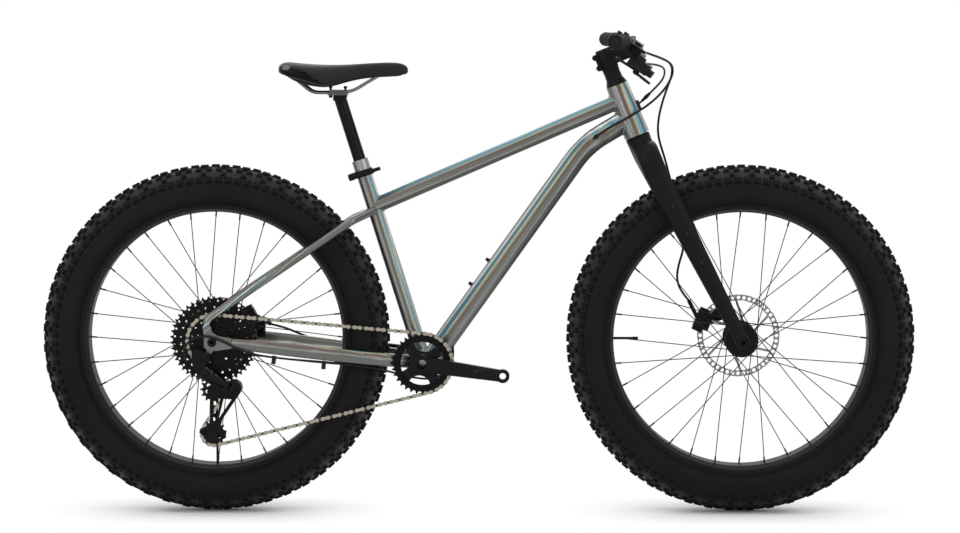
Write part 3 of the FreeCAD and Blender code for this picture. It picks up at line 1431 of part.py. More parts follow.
inner_y = INNER_WIDTH / 2
outer_y = inner_y + PLATE_THICKNESS + PLATE_GAP
chain_width = 2 * (outer_y + PLATE_THICKNESS)
inner_link = link_plate(inner_y).fuse([link_plate(-inner_y - PLATE_THICKNESS)] +
                                      pin_cylinders(float(s.roller_diameter) / 2, INNER_WIDTH))
inner_link = inner_link.cut(pin_cylinders(PIN_RADIUS + float(s.running_clearance), 10))
outer_link = link_plate(outer_y).fuse([link_plate(-outer_y - PLATE_THICKNESS)] +
                                      pin_cylinders(PIN_RADIUS, chain_width))
links = []
for i in range(chain_links):
    first = track.point(pin_distances[i])
    second = track.point(pin_distances[(i + 1) % chain_links])
    middle = (first + second) * 0.5 + Y_AXIS * chain_y
    links.append(placed(outer_link if i % 2 else inner_link, axes(middle, second - first, Y_AXIS)))
node("chain", feature(Part.makeCompound(links)))


# Rear derailleur: knuckle on the hanger, two parallel links, lower knuckle, cage and pulleys

LINK_START = rear_axle_point + Vector(-9.5, -119, -67.5)
LINK = Vector(43, 0, -23)
SLANT = unit(Vector(-0.267, 0.82, -0.5))
LINK_APART = 11.0
CLEVIS_MARGIN = 7.0
BARREL_RADIUS = 4.6
BARREL_HALF = 6.5
CLEVIS = 2.5
LINK_PIN = 2.5
link_length = LINK.Length
link_x = unit(LINK)
link_y = unit(SLANT - link_x * SLANT.dot(link_x))
link_frame = axes(LINK_START, link_x, link_y)
far_frame = axes(LINK_START + LINK, link_x, link_y)
clevis_z = BARREL_HALF + float(s.side_clearance)


def clevis(place, sign):
    """Two cheeks joined by a spine, with a pin for each link."""
    cheeks = [block((21, LINK_APART + CLEVIS_MARGIN, CLEVIS), (sign * 5.5, LINK_APART / 2, z * (clevis_z + CLEVIS / 2)),
                    place) for z in (1, -1)]
    spine = block((7, LINK_APART + CLEVIS_MARGIN, 2 * (clevis_z + CLEVIS)), (sign * 12.5, LINK_APART / 2, 0), place)
    pins = [cylinder(LINK_PIN, 2 * (clevis_z + CLEVIS), place * moved(0, y, -clevis_z - CLEVIS))
            for y in (0, LINK_APART)]
    return cheeks + [spine] + pins


def make_link(y):
    place = link_frame * moved(0, y, 0)
    far = link_frame * moved(link_length, y, 0)
    web = block((link_length, 5, 2 * BARREL_HALF), (link_length / 2, 0, 0), place)
    barrels = [cylinder(BARREL_RADIUS, 2 * BARREL_HALF, end * moved(0, 0, -BARREL_HALF))
               for end in (place, far)]
    bores = [cylinder(LINK_PIN + s.running_clearance, 2 * BARREL_HALF, end * moved(0, 0, -BARREL_HALF))
             for end in (place, far)]
    return cut(fuse(web, *barrels), *bores)


hanger_face = float(rear_half) + HANGER_THICKNESS
knuckle_place = moved(rear_axle_point.x, -hanger_face, rear_axle_point.z)
KNUCKLE_WIDTH = 15.0
upper_arm = plate([(-34, -12), (-20, -18), (-3, -24), (-2, -36), (-12, -46), (-18, -56), (-26, -66),
                   (-36, -58), (-42, -40), (-42, -20)], KNUCKLE_WIDTH, knuckle_place)
hanger_shank = cylinder(4, HANGER_THICKNESS, across(knuckle_place * moved(HANGER.x, 0, HANGER.z), 0))
bolt_head = cylinder(8.7, 3, across(knuckle_place * moved(HANGER.x, 0, HANGER.z), KNUCKLE_WIDTH + 3))
link_room = [block((link_length, 40, 2 * clevis_z), (link_length / 2 - 7, 6, 0), link_frame)]
upper_knuckle = cut(fuse(upper_arm, *clevis(link_frame, -1)[:3]), *link_room)
upper_pins = clevis(link_frame, -1)[3:]
node("derailleur_upper_knuckle", group(fuse(upper_knuckle, *upper_pins), bolt_head, hanger_shank))
node("derailleur_outer_link", make_link(0))
node("derailleur_inner_link", make_link(LINK_APART))

PLATE_STOCK = 1.5
CAGE_HALF = 5.3
CAGE_PIN = 5.0
KNUCKLE_RADIUS = 17.0
cage_outer_y = chain_y - CAGE_HALF - PLATE_STOCK
knuckle_inner = cage_outer_y - float(s.side_clearance)
pivot_place = moved(CAGE_PIVOT.x, 0, CAGE_PIVOT.z)
KNUCKLE_OUTER = -112.0
lower_body = cylinder(KNUCKLE_RADIUS, knuckle_inner - KNUCKLE_OUTER, across(pivot_place, -KNUCKLE_OUTER))
cage_bore = cylinder(CAGE_PIN + s.running_clearance, 14, across(pivot_place, 14 - knuckle_inner))
far_room = block((link_length, 40, 2 * clevis_z), (7 - link_length / 2, 6, 0), far_frame)
lower_knuckle = cut(fuse(lower_body, *clevis(far_frame, 1)[:3]), far_room, cage_bore)
node("derailleur_lower_knuckle", fuse(lower_knuckle, *clevis(far_frame, 1)[3:]))

cage_frame = pivot_place * turned_about(Y_AXIS, -cage_turn)
OUTER_PLATE = [(14, 4), (8, 14), (-6, 14), (-46, 3), (-58, -2), (-60, -16), (-52, -26), (-49, -86),
               (-70, -97), (-72, -104), (-50, -122), (-30, -124), (-14, -112), (-13, -100), (-26, -88),
               (-23, -72), (15, -8)]
INNER_PLATE = [(-60, -6), (-47, 5), (-35, -6), (-35, -86), (-22, -98), (-22, -110), (-40, -121), (-60, -110),
               (-60, -98), (-52, -86), (-54, -28)]
CAGE_WINDOWS = [[(-44, -28), (-30, -28), (-37, -80), (-43, -80)], [(-23, -28), (-6, -28), (-29, -67), (-31, -71)]]
outer_holes = [(-57, -103, 4.5), (-27, -109, 4.5)]
cage_face = cage_frame * moved(0, chain_y - CAGE_HALF, 0)
outer_plate = cut(plate(OUTER_PLATE, PLATE_STOCK, cage_face, outer_holes),
                  *[plate(window, PLATE_STOCK, cage_face) for window in CAGE_WINDOWS])
inner_plate = plate(INNER_PLATE, PLATE_STOCK, cage_frame * moved(0, chain_y + CAGE_HALF + PLATE_STOCK, 0),
                    [(-44, -40, 4.5), (-44, -58, 4.5), (-44, -75, 4.5)])
PULLEY_PIN = 2.5
pulley_pins = [cylinder(PULLEY_PIN, 2 * (CAGE_HALF + PLATE_STOCK),
                        across(moved(p.x, chain_y, p.z), CAGE_HALF + PLATE_STOCK))
               for p in (guide_point, tension_point)]
cage_pin = cylinder(CAGE_PIN, 13.5 + float(s.side_clearance), across(pivot_place, 13.5 - knuckle_inner))
node("derailleur_cage", fuse(outer_plate, inner_plate, *pulley_pins, cage_pin))

PULLEY_THICKNESS = 2.0
for label, point, wheel in (("guide_pulley", guide_point, 3), ("tension_pulley", tension_point, 2)):
    lighten = hole_ring(6, 13.5, 4.0, 0.3)
    holes = [(0, 0, PULLEY_PIN + float(s.running_clearance))] + lighten
    shape = sprocket(pulley_teeth, PULLEY_THICKNESS, holes, track.pin_angle(wheel, pin_distances))
    hub_length = 2 * CAGE_HALF - 2 * float(s.side_clearance)
    sleeve_part = Part.makeCylinder(6, hub_length, Vector(0, -hub_length / 2, 0), Y_AXIS)
    sleeve_bore = Part.makeCylinder(PULLEY_PIN + float(s.running_clearance), 20, Vector(0, -10, 0), Y_AXIS)
    node(label, feature(shape.fuse(sleeve_part).cut(sleeve_bore), moved(point.x, chain_y, point.z)))


# Seat collar with quick release lever, seatpost, rail clamp and saddle

COLLAR_HEIGHT = 14.0
COLLAR_WALL = 3.0
collar_low = s.seat_tube_length - s.seat_sleeve_length
sleeve_radius = s.seat_sleeve_diameter / 2
collar_place = seat_at(collar_low)
LEVER_HEIGHT = 8.0
lever_low = (COLLAR_HEIGHT - LEVER_HEIGHT) / 2
SEAT_PIVOT = (-27.0, -29.0)
collar = cylinder(sleeve_radius + COLLAR_WALL, COLLAR_HEIGHT, collar_place)
collar_bore = cylinder(sleeve_radius, COLLAR_HEIGHT, collar_place)
lug = block((14, 26, COLLAR_HEIGHT), (-26, 0, COLLAR_HEIGHT / 2), collar_place)
lug_slot = block((30, 2.5, COLLAR_HEIGHT), (-31, 0, COLLAR_HEIGHT / 2), collar_place)
cheek_height = lever_low - float(s.side_clearance)
lever_cheeks = [block((11, 24, cheek_height), (-27, -23, z), collar_place)
                for z in (cheek_height / 2, COLLAR_HEIGHT - cheek_height / 2)]
lever_pin = cylinder(3, COLLAR_HEIGHT, collar_place * moved(*SEAT_PIVOT, 0))
nut = cylinder(5.5, 5, across(collar_place * moved(-27, 0, COLLAR_HEIGHT / 2), -13))
lever_gap = block((20, 26, LEVER_HEIGHT + 2 * float(s.side_clearance)), (-27, -27, COLLAR_HEIGHT / 2),
                  collar_place)
collar_body = cut(fuse(collar, lug, *lever_cheeks, nut), collar_bore, lug_slot, lever_gap)
node("seat_clamp", fuse(collar_body, lever_pin))
lever_place = collar_place * Placement(Vector(0, 0, lever_low), Rotation(X_AXIS, -90))
node("seat_clamp_lever", plate([(-33, -35), (-33, -24), (-27, -22.6), (-16, -25), (20, -27), (36, -24),
                                (39, -28), (20, -33), (-20, -35.5)], LEVER_HEIGHT, lever_place,
                               [(*SEAT_PIVOT, 3 + s.running_clearance)]))

post_low = s.seatpost_height - s.seatpost_length
post_tube = cut(cylinder(s.seatpost_diameter / 2, s.seatpost_length, seat_at(post_low)),
                cylinder(s.seatpost_diameter / 2 - 3, s.seatpost_length - 20, seat_at(post_low)))
post_top = on_seat(0, 0, s.seatpost_height)
rail_radius = s.rail_diameter / 2
rail_y = s.rail_spacing / 2
CLAMP_LENGTH = 42.0
clamp_frame = moved(post_top.x - 4, 0, post_top.z + 12)
rail_level = clamp_frame.Base.z
RAILS = [Vector(post_top.x - 87, 24, rail_level + 18), Vector(post_top.x - 54, float(rail_y), rail_level),
         Vector(post_top.x + 14, float(rail_y), rail_level), Vector(post_top.x + 78, 12, rail_level + 28)]
rails = [feature(tube_along([Vector(p.x, sign * p.y, p.z) for p in RAILS], float(rail_radius), 26.0))
         for sign in (1, -1)]
neck_block = block((28, 30, 12), (4, 0, -11.5), clamp_frame)
node("seatpost", cut(fuse(post_tube, neck_block), block((60, 80, 20), (0, 0, 4.5), clamp_frame)))
cradle = cut(block((CLAMP_LENGTH, s.rail_spacing + 14, 5.5), (0, 0, -2.75), clamp_frame), *rails)
upper_jaw = cut(block((CLAMP_LENGTH - 8, s.rail_spacing + 14, 5), (0, 0, 2.9), clamp_frame), *rails)
node("seatpost_clamp", group(cradle, upper_jaw))


def saddle_section(x, half, top, bottom, shrink=1.0, depth=None):
    """A crowned section across the saddle: arched top, drawn-in sides, flat underside."""
    half *= shrink
    low = bottom - depth if depth else bottom
    high = bottom + BASE_LET_IN if depth else top
    shoulder = high - 0.55 * (high - low)
    left, right = Vector(x, -half, shoulder), Vector(x, half, shoulder)
    foot_left, foot_right = Vector(x, -half * 0.82, low), Vector(x, half * 0.82, low)
    if depth:
        return Part.makePolygon([foot_left, foot_right, Vector(x, half, high), Vector(x, -half, high),
                                 foot_left])
    edges = [Part.Arc(left, Vector(x, 0, high), right).toShape(),
             Part.LineSegment(right, foot_right).toShape(),
             Part.LineSegment(foot_right, foot_left).toShape(),
             Part.LineSegment(foot_left, left).toShape()]
    return Part.Wire(edges)


saddle_rear = post_top.x - 130.7
wide_half = float(s.saddle_width) / 2
SADDLE_STATIONS = ((0.0, 0.66, 66, 50), (0.09, 0.96, 79, 34), (0.25, 1.0, 76, 27), (0.46, 0.68, 71, 26),
                   (0.68, 0.33, 72, 37), (0.88, 0.26, 76, 50), (1.0, 0.17, 69, 57))
BASE_DEPTH = 5.0
BASE_LET_IN = 2.0


def saddle_loft(**form):
    wires = []
    for share, width, top, bottom in SADDLE_STATIONS:
        x = saddle_rear + share * float(s.saddle_length)
        wires.append(saddle_section(x, width * wide_half, rail_level - 12 + top, rail_level - 12 + bottom,
                                    **form))
    return Part.makeLoft(wires, True, False)


base = feature(saddle_loft(shrink=0.8, depth=BASE_DEPTH))
cushion = cut(feature(saddle_loft()), base)
node("saddle", cushion)
node("saddle_base", group(base, *[cut(rail, base, cushion) for rail in rails]))


# Small fittings on the frame: bottle bolts, housing clips, head tube clip

BOTTLE_STATIONS = (185.0, 249.0)
down_normal = Vector(-down_direction.z, 0, down_direction.x)
fittings = []
for along in BOTTLE_STATIONS:
    foot = down_start + down_direction * along + down_normal * (float(s.down_tube_height) / 2)
    fittings.append(fuse(cylinder(5, 2, facing(foot, down_normal)),
                         cylinder(3.6, 8, facing(foot, down_normal))))
for index in (23, 25):
    point = SHIFT_HOUSING[index]
    direction = SHIFT_HOUSING[index + 1] - SHIFT_HOUSING[index - 1]
    frame = axes(point, direction, Y_AXIS - unit(direction) * unit(direction).dot(Y_AXIS))
    saddle_block = fuse(cylinder(4.2, 9, facing(point - unit(direction) * 4.5, direction)),
                        block((9, 6, 14), (0, 0, 7), frame))
    fittings.append(cut(saddle_block, housing, by_label["chainstays"]))
head_clip = cut(block((9, 16, 20), (26, 0, head_low + 60), steer), head_outer)
node("frame_fittings", group(*fittings, head_clip))


# Test every object and every sub-part, then write the parts

doc.recompute()
failed = [obj.Label for obj in doc.Objects if "Invalid" in obj.State or "Error" in obj.State]
for obj in nodes:
    if obj.Shape.isNull() or not obj.Shape.isValid() or not obj.Shape.Solids:
        failed.append(obj.Label)
if failed:
    raise RuntimeError("failed objects: " + ", ".join(failed))
os.makedirs("parts", exist_ok=True)
for obj in nodes:
    obj.Shape.exportStep("parts/%s.step" % obj.Label)
print(len(nodes), "sub-parts written")
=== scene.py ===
import math

import bpy
from mathutils import Matrix, Vector


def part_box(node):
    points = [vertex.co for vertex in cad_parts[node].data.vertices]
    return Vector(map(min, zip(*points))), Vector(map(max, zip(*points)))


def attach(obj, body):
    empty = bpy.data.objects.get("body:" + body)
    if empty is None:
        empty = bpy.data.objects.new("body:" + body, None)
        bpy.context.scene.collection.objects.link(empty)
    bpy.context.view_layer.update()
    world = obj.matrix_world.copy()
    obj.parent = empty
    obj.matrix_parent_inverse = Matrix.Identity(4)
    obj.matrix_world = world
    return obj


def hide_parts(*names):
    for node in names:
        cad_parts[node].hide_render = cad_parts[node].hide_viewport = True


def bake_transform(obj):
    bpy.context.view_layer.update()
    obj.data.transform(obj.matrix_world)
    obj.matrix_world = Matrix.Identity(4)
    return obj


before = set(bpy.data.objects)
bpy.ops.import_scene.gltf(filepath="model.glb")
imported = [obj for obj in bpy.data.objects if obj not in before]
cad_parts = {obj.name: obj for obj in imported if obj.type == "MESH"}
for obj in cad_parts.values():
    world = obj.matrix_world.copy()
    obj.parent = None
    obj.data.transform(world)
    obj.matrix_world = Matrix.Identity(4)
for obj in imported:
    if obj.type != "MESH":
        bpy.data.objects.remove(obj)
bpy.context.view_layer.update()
scene = bpy.context.scene
scene.view_settings.view_transform = "Standard"


# Studio: a plain pale floor that runs out to a white surround, a wide soft light overhead, softer
# ones in front and behind, two narrow strips, and a long lens that faces the drive side.

class Value:
    """A socket in a node tree; arithmetic on it adds Math nodes, and node() adds any other."""

    def __init__(self, tree, socket=None):
        self.tree = tree
        self.socket = socket

    def node(self, kind, inputs, stops=(), output=0, **settings):
        made = self.tree.nodes.new("ShaderNode" + kind)
        for name, setting in settings.items():
            setattr(made, name, setting)
        for index, (place, colour) in enumerate(stops):
            elements = made.color_ramp.elements
            element = elements[index] if index < 2 else elements.new(1)
            element.position = place
            element.color = (*colour, 1)
        for name, value in inputs.items():
            if isinstance(value, Value):
                self.tree.links.new(value.socket, made.inputs[name])
            else:
                made.inputs[name].default_value = value
        return Value(self.tree, made.outputs[output])

    def math(self, operation, *operands):
        return self.node("Math", dict(enumerate(operands)), operation=operation)

    def vector(self, operation, *operands):
        """Vector maths: a length or a dot product is a number, and the rest are vectors."""
        output = 1 if operation in ("LENGTH", "DOT_PRODUCT") else 0
        return self.node("VectorMath", dict(enumerate(operands)), output=output, operation=operation)

    def __add__(self, other):
        return self.math("ADD", self, other)

    def __sub__(self, other):
        return self.math("SUBTRACT", self, other)

    def __rsub__(self, other):
        return self.math("SUBTRACT", other, self)

    def __mul__(self, other):
        return self.math("MULTIPLY", self, other)

    __radd__ = __add__
    __rmul__ = __mul__

    def mix(self, first, second):
        return self.node("Mix", {0: self, 6: first, 7: second}, output=2, data_type="RGBA")

    def between(self, low, high):
        return self.node("MapRange", {"Value": self, "From Min": low, "From Max": high})

    def over(self, low, high):
        """This value, from 0 to 1, spread from low to high."""
        return self * (high - low) + low

    def place(self, **mapping):
        spot = self.node("TexCoord", {}, output=3)
        return self.node("Mapping", {"Vector": spot, **mapping}) if mapping else spot

    def noise(self, scale, where=None, detail=3.0):
        return self.node("TexNoise", {"Vector": where or self.place(), "Scale": scale, "Detail": detail})


def grey(level):
    return (level, level, level, 1)


def finish(name, **constants):
    """A new material, its node tree as a Value, and its surface shader with constants set on it."""
    material = bpy.data.materials.new(name)
    material.use_nodes = True
    surface = material.node_tree.nodes["Principled BSDF"]
    for socket, value in constants.items():
        surface.inputs[socket.replace("_", " ")].default_value = value
    return material, Value(material.node_tree), surface


def feed(shader, **values):
    for socket, value in values.items():
        value.tree.links.new(value.socket, shader.inputs[socket.replace("_", " ")])


FLOOR_SIZE, FLOOR_DROP = 60, 0.0004
HALF_WHEELBASE = 0.5685
CONTACT_SPREAD, SHADOW_FADE = (0.30, 0.17), (0.35, 1.25)

bpy.ops.object.select_all(action="DESELECT")
bpy.ops.mesh.primitive_plane_add(size=FLOOR_SIZE, location=(0, 0, -FLOOR_DROP))
floor = bpy.context.object
floor.name = "studio_floor"
floor_white, floor_tree, floor_surface = finish("floor_white", Base_Color=grey(0.93), Roughness=0.9)
floor_spot = floor_tree.vector("ABSOLUTE", floor_tree.place())
floor_spot = floor_tree.vector("SUBTRACT", floor_spot, (HALF_WHEELBASE, 0, 0))
floor_spot = floor_tree.vector("DIVIDE", floor_spot, (*CONTACT_SPREAD, 1))
floor_far = floor_tree.vector("LENGTH", floor_spot).between(*SHADOW_FADE)
floor_lit = Value(floor_tree.tree, floor_surface.outputs["BSDF"])
floor_glow = floor_tree.node("Emission", {"Strength": 1.0})
floor_mix = floor_tree.node("MixShader", {0: floor_far, 1: floor_lit, 2: floor_glow})
feed(floor_white.node_tree.nodes["Material Output"], Surface=floor_mix)
floor.data.materials.append(floor_white)

AMBIENT = 0.62
surround = bpy.data.worlds.new("white_surround")
surround.use_nodes = True
scene.world = surround
surround_tree = Value(surround.node_tree)
camera_ray = surround_tree.node("LightPath", {}, output="Is Camera Ray")
glossy_ray = surround_tree.node("LightPath", {}, output="Is Glossy Ray")
clear_ray = surround_tree.node("LightPath", {}, output="Is Transmission Ray")
seen = camera_ray.math("MAXIMUM", camera_ray, glossy_ray)
seen = seen.math("MAXIMUM", seen, clear_ray)
backdrop = surround.node_tree.nodes["Background"]
backdrop.inputs["Color"].default_value = grey(1)
feed(backdrop, Strength=seen + (1 - seen) * AMBIENT)

# Each lamp: its place, the point that it faces, its width and height, and its power in watts.
SOFTBOXES = (("overhead", (0.1, -0.4, 3.6), (0.0, 0.0, 0.4), (5.0, 3.6), 56),
             ("left_fill", (-3.2, -3.4, 2.2), (-0.2, 0.0, 0.5), (2.6, 2.6), 32),
             ("right_fill", (3.4, -2.6, 1.9), (0.2, 0.0, 0.5), (2.6, 2.6), 32),
             ("back_edge", (0.0, 3.4, 2.6), (0.0, 0.0, 0.5), (4.0, 1.8), 36),
             ("left_strip", (-1.6, -4.2, 1.1), (-0.1, 0.0, 0.6), (0.10, 2.4), 7),
             ("right_strip", (2.2, -3.8, 1.1), (0.2, 0.0, 0.6), (0.10, 2.4), 7))
for name, place, target, (width, height), power in SOFTBOXES:
    softbox = bpy.data.lights.new(name, "AREA")
    softbox.shape = "RECTANGLE"
    softbox.size, softbox.size_y = width, height
    softbox.energy = power
    lamp = bpy.data.objects.new(name, softbox)
    lamp.location = place
    lamp.rotation_euler = (Vector(target) - Vector(place)).to_track_quat("-Z", "Y").to_euler()
    scene.collection.objects.link(lamp)

CAMERA_SPOT = (0.1082, -6.585, 1.0761)
CAMERA_TILT, CAMERA_PAN = math.radians(4.714), math.radians(0.9056)
FOCAL_LENGTH, SENSOR = 114.29, 36
lens = bpy.data.cameras.new("catalogue_lens")
lens.sensor_width, lens.lens = SENSOR, FOCAL_LENGTH
camera = bpy.data.objects.new("catalogue_camera", lens)
camera.location = CAMERA_SPOT
camera.rotation_euler = (math.pi / 2 - CAMERA_TILT, 0, CAMERA_PAN)
scene.collection.objects.link(camera)
scene.camera = camera


# Frame tubes: drawn aluminium under a clear coat with rainbow flake, so each tube shows streaks of
# blue, sand and olive along its length. Across each tube the bands are laid by height as painted
# reflections and painted shade, with a pale painted highlight line. The seat tube's sleeve above the
# collar is bare alloy.

def dress(material, *names):
    for name in names:
        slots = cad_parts[name].data.materials
        slots.clear()
        slots.append(material)


# Colours up a tube's depth: the flake's hues set out as painted reflections and painted shade; the pale
# stop at 0.87 is a painted highlight line.
FLAKE_AND_PAINTED_SHINE_STOPS = ((0.00, (0.12, 0.125, 0.115)), (0.07, (0.10, 0.11, 0.10)), (0.14, (0.15, 0.155, 0.15)),
               (0.22, (0.28, 0.28, 0.275)), (0.32, (0.14, 0.145, 0.125)), (0.42, (0.11, 0.085, 0.085)),
               (0.50, (0.14, 0.095, 0.07)), (0.545, (0.25, 0.21, 0.12)), (0.59, (0.12, 0.20, 0.16)),
               (0.69, (0.045, 0.115, 0.185)), (0.79, (0.11, 0.19, 0.22)), (0.87, (0.60, 0.585, 0.55)),
               (0.95, (0.21, 0.215, 0.205)), (1.00, (0.16, 0.155, 0.14)))
STREAK_SCALE, WANDER_SCALE = (1.3, 120.0, 120.0), 4.0
STREAK_SWING, WANDER_SWING = 0.52, 0.20
STREAK_RANGE, FLAKE_SHEEN = (0.2, 0.8), (0.22, 0.36)
SIDEWAYS, BEND_SOFTNESS = 0.15, 0.4
BARE_ALLOY = grey(0.24)


def flake_with_painted_shine(name, depth, *lines, bare_from=None):
    """Flake coat whose bands run along a tube and are spread over its depth: the flake's colours set out
    as painted reflections and painted shade, with a painted highlight line. Each line is a point on it
    and its lean from level. Where a tube bends, it has one line for each straight, and the higher one
    counts. Past the distance bare_from along the first line the metal is left bare."""
    material, tree, surface = finish(name, Metallic=0.85, Coat_Weight=0.4, Coat_Roughness=0.08)
    rise = None
    for (x, z), lean in lines:
        slope = math.radians(lean)
        outward = (-math.sin(slope) / depth, SIDEWAYS / depth, math.cos(slope) / depth)
        level = tree.vector("DOT_PRODUCT", tree.place(Location=(-x, 0, -z)), outward)
        rise = level if rise is None else rise.math("SMOOTH_MAX", rise, level, BEND_SOFTNESS)
    (x, z), lean = lines[0]
    slope = math.radians(lean)
    along = tree.place(Rotation=(0, slope, 0))
    streak = tree.noise(1.0, tree.node("Mapping", {"Vector": along, "Scale": STREAK_SCALE}), 4.0)
    wander = tree.noise(WANDER_SCALE, detail=2.0)
    # Height across the tube picks the colour, so the band is painted reflection, painted shade and a
    # painted highlight line.
    band = rise + 0.5 + (streak - 0.5) * STREAK_SWING + (wander - 0.5) * WANDER_SWING
    colour = tree.node("ValToRGB", {"Fac": band}, FLAKE_AND_PAINTED_SHINE_STOPS)
    if bare_from:
        backward = (-math.cos(slope), 0, -math.sin(slope))
        reach = tree.vector("DOT_PRODUCT", tree.place(Location=(-x, 0, -z)), backward)
        colour = reach.math("GREATER_THAN", reach, bare_from).mix(colour, BARE_ALLOY)
    feed(surface, Base_Color=colour, Roughness=streak.between(*STREAK_RANGE).over(*FLAKE_SHEEN))
    return material


def middle(node):
    low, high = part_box(node)
    return (low.x + high.x) / 2, (low.z + high.z) / 2


CRANK_HEIGHT = 0.3295
DOWN_FOOT, DOWN_SHOULDER = (-0.102, CRANK_HEIGHT), (0.328, 0.8553)
SEAT_FOOT, SLEEVE_FROM = (-0.11906, CRANK_HEIGHT), 0.419
TOP_DEPTH, TOP_LEAN = 0.034, 23.3
DOWN_DEPTH, DOWN_LEAN, SHOULDER_LEAN = 0.047, 54.5, 31.0
SEAT_DEPTH, SEAT_LEAN = 0.034, -72.5
HEAD_DEPTH, HEAD_LEAN = 0.052, -68.0
CHAINSTAY_DEPTH, CHAINSTAY_LEAN = 0.030, -6.1
SEATSTAY_DEPTH, SEATSTAY_LEAN = 0.017, 40.0
dress(flake_with_painted_shine("flake_and_painted_shine_top_tube", TOP_DEPTH, (middle("top_tube"), TOP_LEAN)), "top_tube")
dress(flake_with_painted_shine("flake_and_painted_shine_down_tube", DOWN_DEPTH, (DOWN_FOOT, DOWN_LEAN), (DOWN_SHOULDER, SHOULDER_LEAN)),
      "down_tube")
dress(flake_with_painted_shine("flake_and_painted_shine_seat_tube", SEAT_DEPTH, (SEAT_FOOT, SEAT_LEAN), bare_from=SLEEVE_FROM),
      "seat_tube")
dress(flake_with_painted_shine("flake_and_painted_shine_head_tube", HEAD_DEPTH, (middle("head_tube"), HEAD_LEAN)), "head_tube")
dress(flake_with_painted_shine("flake_and_painted_shine_chainstays", CHAINSTAY_DEPTH, (middle("chainstays"), CHAINSTAY_LEAN)),
      "chainstays", "bottom_bracket_shell")
dress(flake_with_painted_shine("flake_and_painted_shine_seatstays", SEATSTAY_DEPTH, (middle("seatstays"), SEATSTAY_LEAN)),
      "seatstays", "dropout_right", "dropout_left")


# Weld beads: where two tubes meet, a bead of filler lies in the corner in small overlapping ripples.
# Rays along each tube find the line where it lands on the other, and the bead is laid on that line.

def only(piece):
    bpy.ops.object.select_all(action="DESELECT")
    piece.select_set(True)
    bpy.context.view_layer.objects.active = piece


def made_mesh(curve_object):
    only(curve_object)
    bpy.ops.object.convert(target="MESH")
    bpy.ops.object.shade_smooth()
    return bpy.context.object


SKIN_INSET, SEAM_REACH, RAY_START = 0.995, 0.14, 0.09


def seam_line(tube, host, station, toward, steps, widest):
    """Points round the tube's skin at a station, carried along the tube until they meet the host."""
    axis = toward.normalized()
    side = Vector((0, 1, 0))
    rise = axis.cross(side)
    points = []
    for step in range(steps):
        angle = 2 * math.pi * step / steps
        outward = side * math.cos(angle) + rise * math.sin(angle)
        found, skin, _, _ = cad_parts[tube].ray_cast(station + outward * RAY_START, -outward)
        if not found:
            continue
        offset = (skin - station) * SKIN_INSET
        offset.y = max(-widest, min(widest, offset.y))
        found, landing, _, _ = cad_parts[host].ray_cast(station + offset, axis)
        if found and (landing - station).length < SEAM_REACH:
            points.append(landing)
    return points


BEAD_RADIUS, RIPPLE = 0.0021, 0.72
ALL_ROUND, TOP_CHEEK = 1.0, 0.0162
# Each seam: the tube, what it meets, a station on its axis, the way it runs, its ripples and half width.
SEAMS = (("weld_top_head", "top_tube", "head_tube",
          (0.240, 0, 0.8642), (0.9186, 0, 0.3952), 72, ALL_ROUND),
         ("weld_down_head", "down_tube", "head_tube",
          (0.285, 0, 0.8295), (0.857, 0, 0.515), 84, ALL_ROUND),
         ("weld_top_seat", "top_tube", "seat_tube",
          (-0.165, 0, 0.6899), (-0.9186, 0, -0.3952), 72, TOP_CHEEK),
         ("weld_down_shell", "down_tube", "bottom_bracket_shell",
          (-0.058, 0, 0.391), (-0.581, 0, -0.814), 84, ALL_ROUND),
         ("weld_seat_shell", "seat_tube", "bottom_bracket_shell",
          (-0.137, 0, 0.386), (0.301, 0, -0.954), 60, ALL_ROUND))
WELD_DARK, WELD_PALE = (0.16, 0.16, 0.155, 1), (0.32, 0.315, 0.30, 1)
WELD_GRAIN = 420.0
weld_silver, weld_tree, weld_surface = finish("weld_silver", Metallic=0.9)
weld_grain = weld_tree.noise(WELD_GRAIN)
feed(weld_surface, Base_Color=weld_grain.mix(WELD_DARK, WELD_PALE), Roughness=weld_grain.over(0.26, 0.46))
for name, tube, host, station, toward, steps, widest in SEAMS:
    line = bpy.data.curves.new(name, "CURVE")
    line.dimensions = "3D"
    line.bevel_depth = BEAD_RADIUS
    line.bevel_resolution = 2
    landings = seam_line(tube, host, Vector(station), Vector(toward), steps, widest)
    spline = line.splines.new("POLY")
    spline.points.add(len(landings) - 1)
    spline.use_cyclic_u = True
    for index, (control, landing) in enumerate(zip(spline.points, landings)):
        control.co = (*landing, 1)
        control.radius = RIPPLE if index % 2 else 1
    bead = bpy.data.objects.new(name, line)
    scene.collection.objects.link(bead)
    bead = made_mesh(bead)
    bead.data.materials.append(weld_silver)
    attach(bead, "frame")


# Fork and headset: a rigid fork of formed alloy blades under a satin black coat, its steerer held in
# the head tube by two bearings, with black spacers and a cap above.

COAT_CLOUD = 14.0
GRAIN_SHEEN, CLOUD_SHEEN = 0.12, 0.08
COAT_RELIEF = {"Strength": 0.12, "Distance": 0.00015}


def coated(name, dark, pale, roughness, grain=240.0, metallic=0.0, coat=0.0, specular=0.09):
    """Coat or moulded skin: a fine even grain in its colour, its sheen and its surface."""
    material, tree, surface = finish(name, Metallic=metallic, Coat_Weight=coat, Coat_Roughness=0.06,
                                     Specular_IOR_Level=specular)
    speck = tree.noise(grain, detail=4.0)
    cloud = tree.noise(COAT_CLOUD, detail=2.0)
    feed(surface, Base_Color=(speck * 0.5 + cloud * 0.5).mix(dark, pale),
         Roughness=speck * GRAIN_SHEEN + cloud * CLOUD_SHEEN + roughness,
         Normal=tree.node("Bump", {"Height": speck, **COAT_RELIEF}))
    return material


